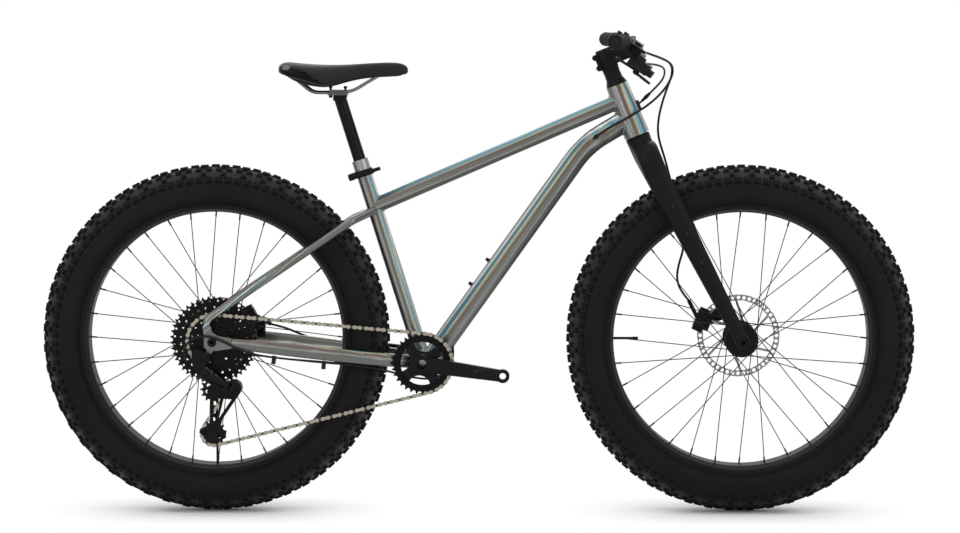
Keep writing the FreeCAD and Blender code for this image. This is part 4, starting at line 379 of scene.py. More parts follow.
fork_satin = coated("fork_satin_black", grey(0.004), grey(0.007), roughness=0.40)
black_alloy = coated("black_alloy", grey(0.004), grey(0.008), roughness=0.34, metallic=0.2)
bolt_steel = coated("bolt_steel", grey(0.20), (0.34, 0.33, 0.32, 1), roughness=0.24, metallic=0.95)
dress(black_alloy, "headset_spacers", "bottom_bracket_cups")
dress(bolt_steel, "headset_bearings")


def edit_mode():
    bpy.ops.object.mode_set(mode="EDIT")


def object_mode():
    bpy.ops.object.mode_set(mode="OBJECT")


def select_by(mesh, kind, test):
    """Leaves exactly the vertices or faces picked that pass the test, in edit mode after it."""
    edit_mode()
    bpy.ops.mesh.select_mode(type=kind)
    bpy.ops.mesh.select_all(action="DESELECT")
    object_mode()
    for element in mesh.polygons if kind == "FACE" else mesh.vertices:
        element.select = test(element)
    edit_mode()


def closed_up(gap):
    """Merges the doubles of the mesh in edit mode, points its faces outwards and leaves edit mode."""
    bpy.ops.mesh.select_all(action="SELECT")
    bpy.ops.mesh.remove_doubles(threshold=gap)
    bpy.ops.mesh.normals_make_consistent(inside=False)
    object_mode()


def applied(piece, kind, **settings):
    modifier = piece.modifiers.new(kind.lower(), kind)
    for name, setting in settings.items():
        setattr(modifier, name, setting)
    only(piece)
    bpy.ops.object.modifier_apply(modifier=modifier.name)


def joined(name, pieces):
    only(pieces[0])
    for piece in pieces:
        piece.select_set(True)
    bpy.ops.object.join()
    bpy.context.object.name = name
    return bpy.context.object


SOLID_GAP = 0.00001


def solid_copy(node, name):
    """A copy of a node's mesh as its own object, with the seams between its faces closed."""
    piece = bpy.data.objects.new(name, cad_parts[node].data.copy())
    piece.data.materials.clear()
    scene.collection.objects.link(piece)
    only(piece)
    edit_mode()
    closed_up(SOLID_GAP)
    return piece


SKIN_GRAIN, SKIN_PASSES = 0.0021, 8
HEAD_FOOT, FORK_FORWARD = Vector((0.343, 0, 0.8181)), Vector((0.92718, 0, 0.37461))
GUSSET_LOW, GUSSET_HIGH = 0.675, 0.818


def behind_crown(point, side):
    """Whether a point of the fork lies on this side, behind the steerer, at the gusset's height."""
    level = GUSSET_LOW < point.z < GUSSET_HIGH
    return point.y * side > 0 and level and (point - HEAD_FOOT).dot(FORK_FORWARD) <= 0


fork_parts = [solid_copy("fork_legs", "fork_legs_skin"), solid_copy("fork_crown", "fork_crown_skin")]
for side in (1, -1):
    gusset = joined("fork_gusset", [solid_copy("fork_legs", "fork_gusset"),
                                    solid_copy("fork_crown", "fork_arch")])
    select_by(gusset.data, "VERT", lambda v: not behind_crown(v.co, side))
    bpy.ops.mesh.delete(type="VERT")
    bpy.ops.mesh.select_all(action="SELECT")
    bpy.ops.mesh.convex_hull()
    object_mode()
    fork_parts.append(gusset)
fork_skin = joined("fork_skin", fork_parts)
applied(fork_skin, "REMESH", mode="VOXEL", voxel_size=SKIN_GRAIN)
applied(fork_skin, "SMOOTH", factor=0.5, iterations=SKIN_PASSES)
only(fork_skin)
bpy.ops.object.shade_smooth()
fork_skin.data.materials.append(fork_satin)
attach(fork_skin, "steering")
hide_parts("fork_legs", "fork_crown")


# Tyres: a wide black rubber casing held on the rim's hooks, with rows of moulded blocks round it.
# The casing is spun from its section; one pitch of the tread is made and copied round the wheel.

def copied(piece, name, matrix):
    twin = piece.copy()
    twin.data = piece.data.copy()
    twin.data.transform(matrix)
    twin.name = name
    scene.collection.objects.link(twin)
    return twin


WHEEL_STEPS, SECTION_SIDES = 160, 48
AXLE_HEIGHT = 0.3775
FRONT_AXLE = Vector((HALF_WHEELBASE, 0, AXLE_HEIGHT))
REAR_AXLE = Vector((-HALF_WHEELBASE, 0, AXLE_HEIGHT))
SECTION_RING, SECTION_RADIUS = 0.3137, 0.0573
BEAD_OPENING, LOWER_SQUEEZE = 0.0355, 0.515
BEAD_TURN_IN, BEAD_TURN_DOWN = 0.001, 0.0058
CASING_WALL, CASING_CREASE = 0.0026, math.radians(40)
MOULD_RIB, RIB_PROUD = (0.322, 0.3245), 0.0006
MODEL_GAP, HAIR = 0.00002, 0.00001

bpy.ops.object.select_all(action="DESELECT")
section_middle = Vector((HALF_WHEELBASE, 0, AXLE_HEIGHT + SECTION_RING))
bpy.ops.mesh.primitive_circle_add(vertices=SECTION_SIDES, radius=SECTION_RADIUS, location=section_middle,
                                  rotation=(0, math.pi / 2, 0))
casing = bpy.context.object
bpy.ops.object.transform_apply(location=True, rotation=True, scale=True)
select_by(casing.data, "VERT", lambda v: v.co.z < section_middle.z - HAIR)
bpy.ops.transform.resize(value=(1, 1, LOWER_SQUEEZE), center_override=section_middle)
select_by(casing.data, "VERT", lambda v: v.co.z < section_middle.z and abs(v.co.y) < BEAD_OPENING)
bpy.ops.mesh.delete(type="VERT")
for side in (1, -1):
    lowest = min(v.co.z for v in casing.data.vertices if v.co.y * side > 0)
    select_by(casing.data, "VERT", lambda v: v.co.y * side > 0 and v.co.z < lowest + HAIR)
    bpy.ops.mesh.extrude_vertices_move(TRANSFORM_OT_translate={
        "value": (0, -side * BEAD_TURN_IN, -BEAD_TURN_DOWN)})
    object_mode()
edit_mode()
bpy.ops.mesh.select_all(action="SELECT")
bpy.ops.mesh.spin(steps=WHEEL_STEPS, angle=2 * math.pi, center=FRONT_AXLE, axis=(0, 1, 0))
closed_up(MODEL_GAP)


def on_mould_rib(point):
    return MOULD_RIB[0] < math.hypot(point.x - FRONT_AXLE.x, point.z - FRONT_AXLE.z) < MOULD_RIB[1]


select_by(casing.data, "FACE", lambda f: on_mould_rib(f.center))
bpy.ops.mesh.extrude_region_shrink_fatten(TRANSFORM_OT_shrink_fatten={"value": RIB_PROUD})
object_mode()
applied(casing, "SOLIDIFY", thickness=CASING_WALL, offset=-1)
only(casing)
bpy.ops.object.shade_smooth_by_angle(angle=CASING_CREASE)
casing.name = "front_tyre_casing"

CROWN_CENTRE, CROWN_ARC = 0.3127, 0.0581
PITCHES = 52
PITCH_TURN = 2 * math.pi / PITCHES
BLOCK_SINK, BLOCK_CELLS = 0.0012, 4
BLOCK_WAIST, BLOCK_TAPER = 0.9, (0.8, 0.86, 1)
# Each block: width, length, height, notch, and its stands: lean in degrees and share of a pitch.
BLOCKS = {"crown": (0.0150, 0.0185, 0.0062, 0.0022, ((9, 0.0), (-9, 0.5))),
          "inner": (0.0095, 0.0125, 0.0058, 0.0012, ((26, 0.28), (26, 0.76), (-26, 0.26), (-26, 0.78))),
          "outer": (0.0100, 0.0105, 0.0054, 0.0014, ((41, 0.02), (-41, 0.52))),
          "shoulder": (0.0160, 0.0150, 0.0052, 0.0040, ((56, 0.25), (56, 0.75), (-56, 0.25), (-56, 0.75)))}


def tread_block(width, length, height, notch):
    """One block on its foot: a strip of cells, notched on its outer side, raised and tapered."""
    bpy.ops.mesh.primitive_grid_add(x_subdivisions=1, y_subdivisions=BLOCK_CELLS, size=1)
    block = bpy.context.object
    cell = 1 / BLOCK_CELLS
    for vertex in block.data.vertices:
        x, y, _ = vertex.co
        waist = BLOCK_WAIST if abs(y) < 1.5 * cell else 1
        dent = notch if x > 0 and abs(y) < 0.5 * cell else 0
        vertex.co = (x * width - dent, y * length * waist, 0)
    edit_mode()
    bpy.ops.mesh.select_all(action="SELECT")
    bpy.ops.mesh.extrude_region_move(TRANSFORM_OT_translate={"value": (0, 0, height + BLOCK_SINK)})
    bpy.ops.transform.resize(value=BLOCK_TAPER, center_override=(0, 0, height))
    closed_up(MODEL_GAP)
    return block


def on_crown(lean, turn):
    """Where a block stands: leaned across the tyre from its crown, and turned round the axle."""
    side = -1 if lean < 0 else 1
    up = Vector((math.cos(turn) * math.cos(lean), math.sin(lean), math.sin(turn) * math.cos(lean)))
    forward = Vector((-math.sin(turn), 0, math.cos(turn))) * side
    across = forward.cross(up)
    ring = Vector((math.cos(turn), 0, math.sin(turn))) * CROWN_CENTRE
    basis = Matrix((across, forward, up)).transposed().to_4x4()
    return Matrix.Translation(FRONT_AXLE + ring + up * (CROWN_ARC - BLOCK_SINK)) @ basis


pitch_blocks = []
for kind, (width, length, height, notch, stands) in BLOCKS.items():
    pattern = tread_block(width, length, height, notch)
    for lean, share in stands:
        pitch_blocks.append(copied(pattern, kind, on_crown(math.radians(lean), share * PITCH_TURN)))
    bpy.data.objects.remove(pattern)
pitch = joined("tread_pitch", pitch_blocks)
round_axle = [Matrix.Translation(FRONT_AXLE) @ Matrix.Rotation(step * PITCH_TURN, 4, "Y")
              @ Matrix.Translation(-FRONT_AXLE) for step in range(PITCHES)]
tread = joined("front_tyre_tread", [copied(pitch, "tread_pitch", turn) for turn in round_axle])
bpy.data.objects.remove(pitch)
to_rear = Matrix.Translation(REAR_AXLE - FRONT_AXLE)
rear_casing = copied(casing, "rear_tyre_casing", to_rear)
rear_tread = copied(tread, "rear_tyre_tread", to_rear)

RING_PACE, MOTTLE_SCALE, RUBBER_CLOUD = 2600.0, 160.0, 9.0
# Reach from the axle over which a painted highlight pales the crown and shoulders; the side wall by the rim
# stays dark.
PAINTED_SHEEN_BAND = (0.333, 0.362)
RUBBER_RELIEF = {"Strength": 0.35, "Distance": 0.0004}


def axle_reach(tree, axle):
    """How far from its wheel's axle a point lies."""
    spot = tree.place(Location=(-axle.x, 0, -axle.z))
    return tree.vector("LENGTH", tree.vector("MULTIPLY", spot, (1, 0, 1)))


def rubber(name, axle, dark, pale, roughness, ring_depth):
    """Moulded rubber: fine mottle, a painted highlight that makes the crown and shoulders paler than the
    walls by the rim, and rings round the axle on the side walls.
    """
    material, tree, surface = finish(name, Specular_IOR_Level=0.07)
    reach = axle_reach(tree, axle)
    rings = reach.math("SINE", reach * RING_PACE)
    mottle = tree.noise(MOTTLE_SCALE, detail=5.0)
    cloud = tree.noise(RUBBER_CLOUD, detail=2.0)
    painted_crown_sheen = reach.between(*PAINTED_SHEEN_BAND)
    feed(surface, Base_Color=(mottle * 0.2 + cloud * 0.15 + painted_crown_sheen * 0.65).mix(dark, pale),
         Roughness=mottle * 0.18 + roughness,
         Normal=tree.node("Bump", {"Height": rings * ring_depth + mottle * 0.7, **RUBBER_RELIEF}))
    return material


for node, body, axle, casing_piece, tread_piece in (
        ("front_tyre", "front_wheel", FRONT_AXLE, casing, tread),
        ("rear_tyre", "rear_wheel", REAR_AXLE, rear_casing, rear_tread)):
    side_rubber = rubber(node + "_side", axle, grey(0.001), grey(0.034), roughness=0.46, ring_depth=0.25)
    tread_rubber = rubber(node + "_tread", axle, grey(0.004), grey(0.010), roughness=0.62, ring_depth=0.0)
    casing_piece.data.materials.append(side_rubber)
    tread_piece.data.materials.append(tread_rubber)
    for piece in (casing_piece, tread_piece):
        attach(piece, body)
        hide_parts(node)


# Rims, spokes, hubs, rotors and axles: satin black rims and hubs, drawn black spokes, ground steel
# rotors with a brushed band, and black axles.

GRINDING_PACE = 2400.0
ROTOR_DARK, ROTOR_PALE = (0.15, 0.145, 0.14, 1), (0.30, 0.29, 0.27, 1)


def ground_steel(name, axle):
    """Ground steel: fine rings round the axle in the colour and the sheen."""
    material, tree, surface = finish(name, Metallic=0.95)
    pace = axle_reach(tree, axle) * GRINDING_PACE
    rings = tree.node("TexNoise", {"W": pace, "Scale": 1.0, "Detail": 3.0}, noise_dimensions="1D")
    feed(surface, Base_Color=rings.mix(ROTOR_DARK, ROTOR_PALE), Roughness=rings.over(0.26, 0.42))
    return material


rim_black = coated("rim_satin_black", grey(0.004), grey(0.009), roughness=0.36)
spoke_black = coated("spoke_black_steel", grey(0.012), grey(0.030), roughness=0.30, metallic=0.5)
dress(rim_black, "front_rim", "rear_rim")
dress(spoke_black, "front_spokes", "rear_spokes")
dress(black_alloy, "front_hub", "rear_hub", "front_axle", "rear_axle")
dress(ground_steel("front_rotor_steel", FRONT_AXLE), "front_rotor")
dress(ground_steel("rear_rotor_steel", REAR_AXLE), "rear_rotor")


# Bar, grips and controls: a black riser bar with soft ribbed grips clamped by a collar, hydraulic
# brake levers and the gear lever pod.

SMALL_CREASE = math.radians(35)


def turned_piece(name, stations, segments, foot, direction):
    """A turned piece: a disc extruded from station to station along its axis, then set in place."""
    height, radius = stations[0]
    bpy.ops.object.select_all(action="DESELECT")
    bpy.ops.mesh.primitive_circle_add(vertices=segments, radius=radius, fill_type="NGON")
    piece = bpy.context.object
    edit_mode()
    bpy.ops.mesh.select_all(action="SELECT")
    for next_height, next_radius in stations[1:]:
        bpy.ops.mesh.extrude_region_move(TRANSFORM_OT_translate={"value": (0, 0, next_height - height)})
        grow = next_radius / radius
        bpy.ops.transform.resize(value=(grow, grow, 1), center_override=(0, 0, next_height))
        height, radius = next_height, next_radius
    closed_up(MODEL_GAP)
    turn = Vector((0, 0, 1)).rotation_difference(Vector(direction)).to_matrix().to_4x4()
    piece.data.transform(Matrix.Translation(foot) @ turn)
    only(piece)
    bpy.ops.object.shade_smooth_by_angle(angle=SMALL_CREASE)
    piece.name = name
    return piece


def mirrored(point, side):
    x, y, z = point
    return (x, side * y, z)


GRIP_END, GRIP_WAY, GRIP_SIDES = (0.28449, 0.375, 1.02171), (0.16609, -0.98609, -0.00607), 40
RIB_PITCH, RIB_COUNT, RIB_START = 0.0056, 17, 0.010
RIB_LOW, RIB_HIGH = 0.0148, 0.01575
RIB_PROFILE = ((0, RIB_LOW), (0.0007, RIB_HIGH), (0.0032, RIB_HIGH), (0.0039, RIB_LOW))
END_CAP = ((0, 0.0095), (0.0006, 0.0102), (0.0006, 0.0146), (0.0022, 0.0159), (0.0064, 0.0159),
           (0.0082, RIB_LOW))
COLLAR = ((0.1065, 0.0146), (0.1070, 0.0163), (0.1080, 0.0168), (0.1195, 0.0168), (0.1205, 0.0163),
          (0.1210, 0.0150), (0.1240, 0.0160), (0.1290, 0.0160), (0.1300, 0.0152))
grip_ribs = [(RIB_START + rib * RIB_PITCH + along, radius)
             for rib in range(RIB_COUNT) for along, radius in RIB_PROFILE]
grip_rubber = coated("grip_rubber", grey(0.006), grey(0.013), roughness=0.58, grain=520.0, specular=0.12)
for name, side in (("grip_right", -1), ("grip_left", 1)):
    grip = turned_piece(name, (*END_CAP, *grip_ribs, *COLLAR), GRIP_SIDES, mirrored(GRIP_END, side),
                        mirrored(GRIP_WAY, side))
    grip.data.materials.append(grip_rubber)
    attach(grip, "steering")
    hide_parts("grips")

moulded = coated("moulded_black", grey(0.007), grey(0.015), roughness=0.44, grain=380.0)
black_bolt = coated("black_bolt", grey(0.010), grey(0.030), roughness=0.26, metallic=0.6)
dress(black_alloy, "handlebar")
dress(black_bolt, "steering_bolts", "frame_fittings")

FLAT_WITHIN, SHARP_FROM = math.radians(0.5), math.radians(40)


def eased(node, body, width, material):
    """A forged or moulded piece with its sharp edges broken, made from the solid's own mesh."""
    piece = solid_copy(node, node + "_eased")
    edit_mode()
    bpy.ops.mesh.select_all(action="SELECT")
    bpy.ops.mesh.dissolve_limited(angle_limit=FLAT_WITHIN)
    object_mode()
    applied(piece, "BEVEL", width=width, segments=2, limit_method="ANGLE", angle_limit=SHARP_FROM)
    only(piece)
    bpy.ops.object.shade_smooth_by_angle(angle=SMALL_CREASE)
    piece.data.materials.append(material)
    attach(piece, body)
    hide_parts(node)


STEM_EDGE, FORGED_EDGE, CALIPER_EDGE, THUMB_EDGE = 0.0012, 0.0010, 0.0009, 0.0006
eased("stem", "steering", STEM_EDGE, black_alloy)
eased("stem_faceplate", "steering", FORGED_EDGE, black_alloy)
eased("brake_masters", "steering", FORGED_EDGE, black_alloy)
eased("shifter_body", "steering", FORGED_EDGE, moulded)
eased("shift_thumb_lever", "thumb_lever", THUMB_EDGE, moulded)
eased("shift_release_lever", "release_lever", THUMB_EDGE, moulded)
eased("brake_lever_right", "lever_right", FORGED_EDGE, moulded)
eased("brake_lever_left", "lever_left", FORGED_EDGE, moulded)
eased("front_brake_caliper", "steering", CALIPER_EDGE, black_alloy)
eased("rear_brake_caliper", "frame", CALIPER_EDGE, black_alloy)


# Drive: forged black crank arms with a steel toothed ring, a nickel chain, a dark stamped cassette, and
# the sprung gear changer with its two pulleys.

CRANK_EDGE = 0.0015
ring_steel = coated("ring_black_steel", grey(0.004), grey(0.009), roughness=0.30, metallic=0.6)
crank_black = coated("crank_black", grey(0.003), grey(0.006), roughness=0.30, metallic=0.2, coat=0.06)
cassette_black = coated("cassette_black", grey(0.005), grey(0.014), roughness=0.30, metallic=0.7)
eased("crank_arms", "crank", CRANK_EDGE, crank_black)
dress(ring_steel, "chainring")
dress(cassette_black, "cassette")
dress(black_alloy, "derailleur_inner_link", "derailleur_cage")
dress(moulded, "guide_pulley", "tension_pulley")
eased("derailleur_upper_knuckle", "frame", FORGED_EDGE, black_alloy)
eased("derailleur_outer_link", "link_outer", FORGED_EDGE, black_alloy)
eased("derailleur_lower_knuckle", "knuckle_lower", FORGED_EDGE, black_alloy)

CHAIN_LINE, OUTER_PLATE = 0.0706, 0.00198
# Everything between the outer plates, inner plates and rollers, is darkened as painted shade; the outer
# plates are nickel.
INNER_PLATE_PAINTED_SHADE, PLATE_NICKEL = (0.030, 0.028, 0.026, 1), (0.40, 0.37, 0.30, 1)
CHAIN_GRIME, CHAIN_SCUFF = (0.13, 0.12, 0.10, 1), 900.0
chain_nickel, chain_tree, chain_surface = finish("chain_nickel", Metallic=0.95)
chain_scuff = chain_tree.noise(CHAIN_SCUFF, detail=4.0)
chain_spot = chain_tree.place(Location=(0, CHAIN_LINE, 0))
chain_side = chain_tree.node("SeparateXYZ", {"Vector": chain_spot}, output="Y")
chain_outer = chain_side.math("GREATER_THAN", chain_side.math("ABSOLUTE", chain_side), OUTER_PLATE)
chain_plate_and_shade = chain_outer.mix(INNER_PLATE_PAINTED_SHADE, PLATE_NICKEL)
feed(chain_surface, Base_Color=(chain_scuff * 0.6).mix(chain_plate_and_shade, CHAIN_GRIME),
     Roughness=chain_scuff.over(0.20, 0.36))
dress(chain_nickel, "chain")


# Seat: a gloss black alloy post that slides in the seat tube, the collar that pinches it with a quick
# release lever, and the grey clamp on its head, whose two bolts hold the saddle's rails.

CLAMP_EDGE = 0.0008
post_gloss = coated("post_gloss_black", grey(0.003), grey(0.005), roughness=0.10, coat=0.08, specular=0.06)
clamp_grey = coated("clamp_grey", grey(0.05), grey(0.10), roughness=0.30, metallic=0.9)
dress(post_gloss, "seatpost")
eased("seat_clamp", "frame", CLAMP_EDGE, black_alloy)
eased("seat_clamp_lever", "clamp_lever", CLAMP_EDGE, black_alloy)
eased("seatpost_clamp", "saddle_post", CLAMP_EDGE, clamp_grey)

RAIL_BOLT = ((0, 0.0040), (0.0050, 0.0040), (0.0054, 0.0025), (0.0200, 0.0025), (0.0204, 0.0038),
             (0.0246, 0.0038), (0.0252, 0.0032))
RAIL_BOLT_FOOT, RAIL_BOLT_SIDES = 0.8985, 24
for name, x in (("rail_bolt_front", -0.2865), ("rail_bolt_rear", -0.3185)):
    bolt = turned_piece(name, RAIL_BOLT, RAIL_BOLT_SIDES, (x, 0, RAIL_BOLT_FOOT), (0, 0, 1))
    bolt.data.materials.append(black_bolt)
    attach(bolt, "saddle_post")


# Saddle: foam under a stretched black cover, gloss guards on its rear flanks, a moulded shell below,
# and two bent steel rails that the clamp holds.

SADDLE_REAR, SADDLE_LENGTH = -0.42898, 0.278
SADDLE_HALF, SADDLE_FLOOR = 0.073, 0.89792
MILLIMETRES = 1000
# Each station: share of the length, share of the half width, then top and lower edge in millimetres.
COVER_STATIONS = ((0.000, 0.50, 68, 57), (0.020, 0.68, 75, 53), (0.060, 0.86, 78, 48),
                  (0.120, 0.97, 76, 43), (0.210, 1.00, 73.5, 37), (0.300, 0.94, 72, 30),
                  (0.370, 0.83, 71.5, 23.5), (0.450, 0.66, 71.5, 31), (0.540, 0.50, 72, 40),
                  (0.640, 0.37, 74, 46), (0.760, 0.30, 76, 48.5), (0.880, 0.26, 77, 48.5),
                  (0.950, 0.23, 75, 49), (0.985, 0.17, 70, 51), (1.000, 0.09, 64, 55))
SHELL_STATIONS = ((0.050, 0.40, 60, 50), (0.090, 0.62, 60, 42), (0.170, 0.74, 58, 31),
                  (0.280, 0.70, 54, 25), (0.370, 0.58, 50, 22), (0.460, 0.46, 54, 28),
                  (0.600, 0.29, 60, 40), (0.760, 0.22, 62, 45), (0.900, 0.19, 62, 46),
                  (0.960, 0.13, 60, 48))
# Each section, from the middle of the top round to the middle below: share of the width and of the drop.
COVER_SECTION = ((0.00, 0.00), (0.30, 0.004), (0.58, 0.04), (0.80, 0.14), (0.94, 0.32), (1.00, 0.56),
                 (0.985, 0.80), (0.93, 0.96), (0.80, 1.00), (0.55, 0.93), (0.25, 0.87), (0.00, 0.85))
SHELL_SECTION = ((0.00, 0.00), (0.50, 0.02), (0.90, 0.10), (1.00, 0.30), (1.00, 0.75), (0.92, 0.95),
                 (0.78, 1.00), (0.60, 0.96), (0.30, 0.90), (0.00, 0.90))


def lofted(name, stations, half_section):
    """A skin over a row of sections: a ring is added for each, set to its shape, and all are bridged."""
    rings = []
    section = list(half_section) + [(-across, drop) for across, drop in reversed(half_section[1:-1])]
    for share, width, top, bottom in stations:
        bpy.ops.mesh.primitive_circle_add(vertices=len(section), radius=SADDLE_HALF)
        ring = bpy.context.object
        for vertex, (across, drop) in zip(ring.data.vertices, section):
            vertex.co = (SADDLE_REAR + share * SADDLE_LENGTH, across * width * SADDLE_HALF,
                         SADDLE_FLOOR + (top + (bottom - top) * drop) / MILLIMETRES)
        rings.append(ring)
    piece = joined(name, rings)
    edit_mode()
    bpy.ops.mesh.select_all(action="SELECT")
    bpy.ops.mesh.bridge_edge_loops()
    bpy.ops.mesh.select_all(action="SELECT")
    bpy.ops.mesh.fill_holes(sides=0)
    closed_up(MODEL_GAP)
    applied(piece, "SUBSURF", levels=2, render_levels=2)
    only(piece)
    bpy.ops.object.shade_smooth()
    return piece


saddle_cover = lofted("saddle_cover", COVER_STATIONS, COVER_SECTION)
saddle_shell = lofted("saddle_shell", SHELL_STATIONS, SHELL_SECTION)

GUARD_EDGE = ((0.00, 71), (0.10, 70), (0.20, 60), (0.30, 42), (0.375, 24))
GUARD_PROUD, GUARD_UNDERSIDE = 0.0009, -0.75


def guard_height(x):
    """Where the guard's upper edge runs; ahead of its end there is no guard, so it is below the saddle."""
    share = (x - SADDLE_REAR) / SADDLE_LENGTH
    for (low_share, low), (high_share, high) in zip(GUARD_EDGE, GUARD_EDGE[1:]):
        if share <= high_share:
            height = low + (high - low) * (share - low_share) / (high_share - low_share)
            return SADDLE_FLOOR + height / MILLIMETRES
    return 0


def off_guard(face):
    return face.center.z > guard_height(face.center.x) or face.normal.z < GUARD_UNDERSIDE


saddle_guard = copied(saddle_cover, "saddle_guard", Matrix())
only(saddle_guard)
select_by(saddle_guard.data, "FACE", off_guard)
bpy.ops.mesh.delete(type="FACE")
object_mode()
applied(saddle_guard, "SOLIDIFY", thickness=GUARD_PROUD, offset=1)

PORE_SCALE, CREASE_SCALE = 620.0, 45.0
VINYL_RELIEF = {"Strength": 0.22, "Distance": 0.0003}
cover_vinyl, cover_tree, cover_surface = finish("saddle_vinyl", Specular_IOR_Level=0.14, Sheen_Weight=0.05)
pores = cover_tree.node("TexVoronoi", {"Vector": cover_tree.place(), "Scale": PORE_SCALE})
creases = cover_tree.noise(CREASE_SCALE, detail=4.0)
feed(cover_surface, Base_Color=creases.mix(grey(0.007), grey(0.014)), Roughness=creases.over(0.50, 0.66),
     Normal=cover_tree.node("Bump", {"Height": pores * 0.8 + creases * 0.4, **VINYL_RELIEF}))
saddle_cover.data.materials.append(cover_vinyl)
saddle_shell.data.materials.append(moulded)

OVAL_X, OVAL_Z = -0.4105, 0.9640
OVAL_LONG, OVAL_TALL, OVAL_EDGE = 0.0095, 0.0052, (0.92, 1.0)
GUARD_GRAIN = 300.0
guard_gloss, guard_tree, guard_surface = finish("guard_gloss", Specular_IOR_Level=0.06, Coat_Weight=0.06,
                                                Coat_Roughness=0.1)
oval_way = guard_tree.place(Location=(-OVAL_X, 0, -OVAL_Z))
oval_way = guard_tree.vector("MULTIPLY", oval_way, (1 / OVAL_LONG, 0, 1 / OVAL_TALL))
oval = 1 - guard_tree.vector("LENGTH", oval_way).between(*OVAL_EDGE)
feed(guard_surface, Base_Color=oval.mix(grey(0.002), grey(0.13)),
     Roughness=guard_tree.noise(GUARD_GRAIN).over(0.14, 0.24))
saddle_guard.data.materials.append(guard_gloss)


def smooth_line(name, points, steps):
    """A smooth line with the points as its control points."""
    line = bpy.data.curves.new(name, "CURVE")
    line.dimensions = "3D"
    spline = line.splines.new("NURBS")
    spline.points.add(len(points) - 1)
    for control, point in zip(spline.points, points):
        control.co = (*point, 1)
    spline.order_u = 3
    spline.use_endpoint_u = True
    line.resolution_u = steps
    route = bpy.data.objects.new(name, line)
    scene.collection.objects.link(route)
    return route


def round_bar(route, radius, roundness):
    """A round bar on a line, with closed ends, as a mesh."""
    route.data.bevel_depth = radius
    route.data.bevel_resolution = roundness
    route.data.use_fill_caps = True
    return made_mesh(route)


RAIL_RADIUS, RAIL_STEPS, RAIL_ROUNDNESS = 0.0035, 12, 4
RAIL_POINTS = ((-0.3860, 0.0240, 0.9340), (-0.3740, 0.0236, 0.9240), (-0.3560, 0.0222, 0.9099),
               (-0.3300, 0.0220, 0.9099), (-0.2860, 0.0220, 0.9099), (-0.2640, 0.0195, 0.9160),
               (-0.2380, 0.0150, 0.9325), (-0.2125, 0.0110, 0.9470))
rail_steel = coated("rail_steel", grey(0.10), grey(0.20), roughness=0.30, grain=500.0, metallic=0.9)
rail_pair = []
for side in (1, -1):
    rail_line = smooth_line("saddle_rail", [mirrored(point, side) for point in RAIL_POINTS], RAIL_STEPS)
    rail_pair.append(round_bar(rail_line, RAIL_RADIUS, RAIL_ROUNDNESS))
saddle_rails = joined("saddle_rails", rail_pair)
saddle_rails.data.materials.append(rail_steel)
for piece, node, slot in ((saddle_cover, "saddle", "saddle"), (saddle_guard, "saddle", "saddle"),
                          (saddle_shell, "saddle_base", "plastic"), (saddle_rails, "saddle_base", "steel")):
    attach(piece, "saddle_post")
    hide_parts(node)


# Cords: two brake hoses and one gear housing, black plastic over a liner. They leave the levers in
# easy loops, and two of them go into the down tube and come out again at the bottom bracket.

CORD_STEPS, CORD_ROUNDNESS = 8, 3
CORD_MOTTLE, CORD_RELIEF = 900.0, {"Strength": 0.08, "Distance": 0.0002}
cord_black, cord_tree, cord_surface = finish("cord_black", Specular_IOR_Level=0.12)
cord_mottle = cord_tree.noise(CORD_MOTTLE, detail=2.0)
feed(cord_surface, Base_Color=cord_mottle.mix(grey(0.006), grey(0.013)),
     Roughness=cord_mottle.over(0.36, 0.48),
     Normal=cord_tree.node("Bump", {"Height": cord_mottle, **CORD_RELIEF}))


def cord_tube(name, points, radius):
    """A round tube on the route as a mesh, and the points of the smooth line that it follows."""
    route = smooth_line(name, points, CORD_STEPS)
    bpy.context.view_layer.update()
    bare = bpy.data.meshes.new_from_object(route)
    path = [vertex.co.copy() for vertex in bare.vertices]
    bpy.data.meshes.remove(bare)
    tube = round_bar(route, radius, CORD_ROUNDNESS)
    tube.data.materials.append(cord_black)
    return tube, path


HOSE_RADIUS, HOUSING_RADIUS = 0.0025, 0.00225
FRONT_HOSE = ((0.339, 0.182, 1.005), (0.347, 0.154, 1.001), (0.366, 0.116, 0.994), (0.394, 0.078, 0.985),
              (0.418, 0.044, 0.973), (0.420, 0.022, 0.950), (0.408, 0.020, 0.918), (0.397, 0.025, 0.884),
              (0.390, 0.034, 0.850), (0.390, 0.048, 0.818), (0.398, 0.068, 0.790), (0.408, 0.090, 0.762),
              (0.417, 0.100, 0.728), (0.430, 0.102, 0.684), (0.444, 0.102, 0.640), (0.452, 0.102, 0.598),
              (0.449, 0.099, 0.560), (0.438, 0.092, 0.528), (0.434, 0.082, 0.498), (0.444, 0.074, 0.472),
              (0.460, 0.068, 0.454))
REAR_HOSE = ((0.339, -0.182, 1.005), (0.347, -0.154, 1.001), (0.366, -0.118, 0.994),
             (0.394, -0.082, 0.984), (0.416, -0.050, 0.972), (0.419, -0.028, 0.950),
             (0.405, -0.022, 0.922), (0.382, -0.028, 0.897), (0.354, -0.035, 0.876),
             (0.322, -0.038, 0.857), (0.290, -0.036, 0.840), (0.262, -0.026, 0.822),
             (0.236, -0.013, 0.800), (0.206, -0.007, 0.762), (0.169, -0.006, 0.718),
             (-0.043, 0.005, 0.420), (-0.065, 0.006, 0.378), (-0.053, 0.011, 0.340),
             (-0.064, 0.020, 0.306), (-0.098, 0.040, 0.290), (-0.136, 0.058, 0.300),
             (-0.172, 0.070, 0.322), (-0.216, 0.077, 0.340), (-0.268, 0.089, 0.350),
             (-0.318, 0.095, 0.355), (-0.366, 0.101, 0.364), (-0.400, 0.105, 0.377),
             (-0.432, 0.099, 0.391), (-0.458, 0.088, 0.398))
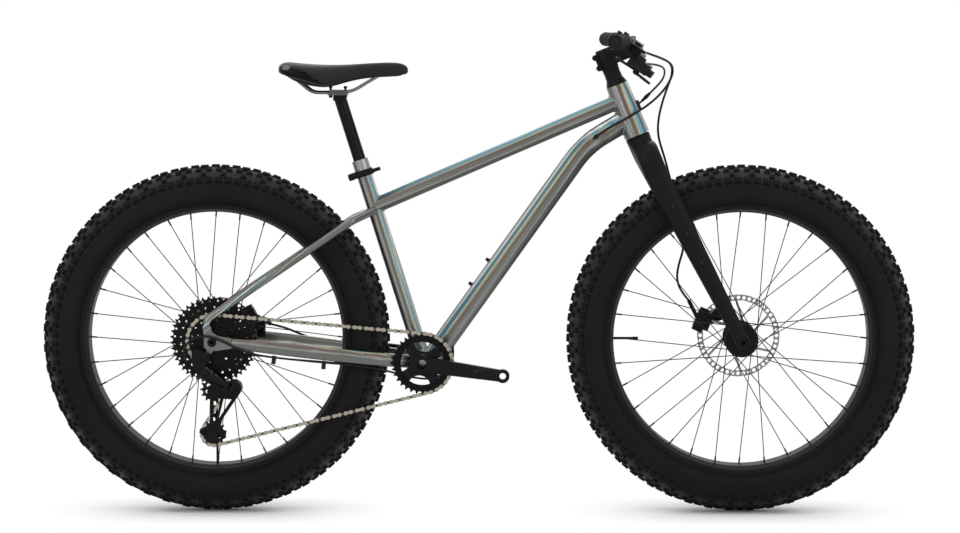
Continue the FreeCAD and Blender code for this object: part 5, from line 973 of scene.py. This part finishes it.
SHIFT_HOUSING = ((0.346, -0.188, 0.976), (0.358, -0.152, 0.974), (0.378, -0.112, 0.972),
                 (0.396, -0.070, 0.966), (0.402, -0.024, 0.954), (0.398, 0.012, 0.936),
                 (0.376, 0.030, 0.912), (0.350, 0.037, 0.886), (0.320, 0.038, 0.862),
                 (0.290, 0.036, 0.842), (0.262, 0.026, 0.822), (0.236, 0.013, 0.800),
                 (0.206, 0.006, 0.762), (0.177, 0.004, 0.706), (-0.033, -0.005, 0.414),
                 (-0.057, -0.008, 0.378), (-0.052, -0.013, 0.338), (-0.066, -0.020, 0.306),
                 (-0.098, -0.038, 0.291), (-0.138, -0.052, 0.296), (-0.180, -0.060, 0.308),
                 (-0.226, -0.068, 0.320), (-0.276, -0.075, 0.327), (-0.330, -0.082, 0.332),
                 (-0.384, -0.088, 0.338), (-0.436, -0.094, 0.344), (-0.480, -0.104, 0.352),
                 (-0.516, -0.112, 0.366), (-0.550, -0.116, 0.384), (-0.586, -0.118, 0.394),
                 (-0.616, -0.117, 0.384), (-0.630, -0.115, 0.360), (-0.622, -0.113, 0.336))

front_hose, front_path = cord_tube("front_hose", FRONT_HOSE, HOSE_RADIUS)
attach(front_hose, "steering")
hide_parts("front_brake_hose")
rear_hose, rear_path = cord_tube("rear_hose", REAR_HOSE, HOSE_RADIUS)
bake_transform(rear_hose)
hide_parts("rear_brake_hose")
gear_housing, housing_path = cord_tube("gear_housing", SHIFT_HOUSING, HOUSING_RADIUS)
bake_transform(gear_housing)
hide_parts("shift_housing")


# Cord fittings: a moulded barrel that takes up slack in the gear housing beside the head tube, and a
# moulded ring round each port where a cord goes into the down tube.

FITTING_SIDES = 28
ADJUSTER = ((0, 0.0026), (0.001, 0.0034), (0.006, 0.0034), (0.0065, 0.0042), (0.0150, 0.0042),
            (0.0155, 0.0034), (0.0235, 0.0030), (0.0245, 0.0024))
ADJUSTER_FOOT, ADJUSTER_WAY = (0.3715, 0.0312, 0.9075), (-0.6947, 0.1870, -0.6947)
adjuster = turned_piece("barrel_adjuster", ADJUSTER, FITTING_SIDES, ADJUSTER_FOOT, ADJUSTER_WAY)
adjuster.data.materials.append(moulded)
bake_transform(adjuster)

GROMMET = ((0, 0.0052), (0.0011, 0.0052), (0.0018, 0.0044), (0.0018, 0.0034))
GROMMET_SPOT = (0.2545, 0.0215, 0.8155)
for name, side in (("port_grommet_right", -1), ("port_grommet_left", 1)):
    grommet = turned_piece(name, GROMMET, FITTING_SIDES, mirrored(GROMMET_SPOT, side), (0, side, 0))
    grommet.data.materials.append(moulded)
    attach(grommet, "frame")
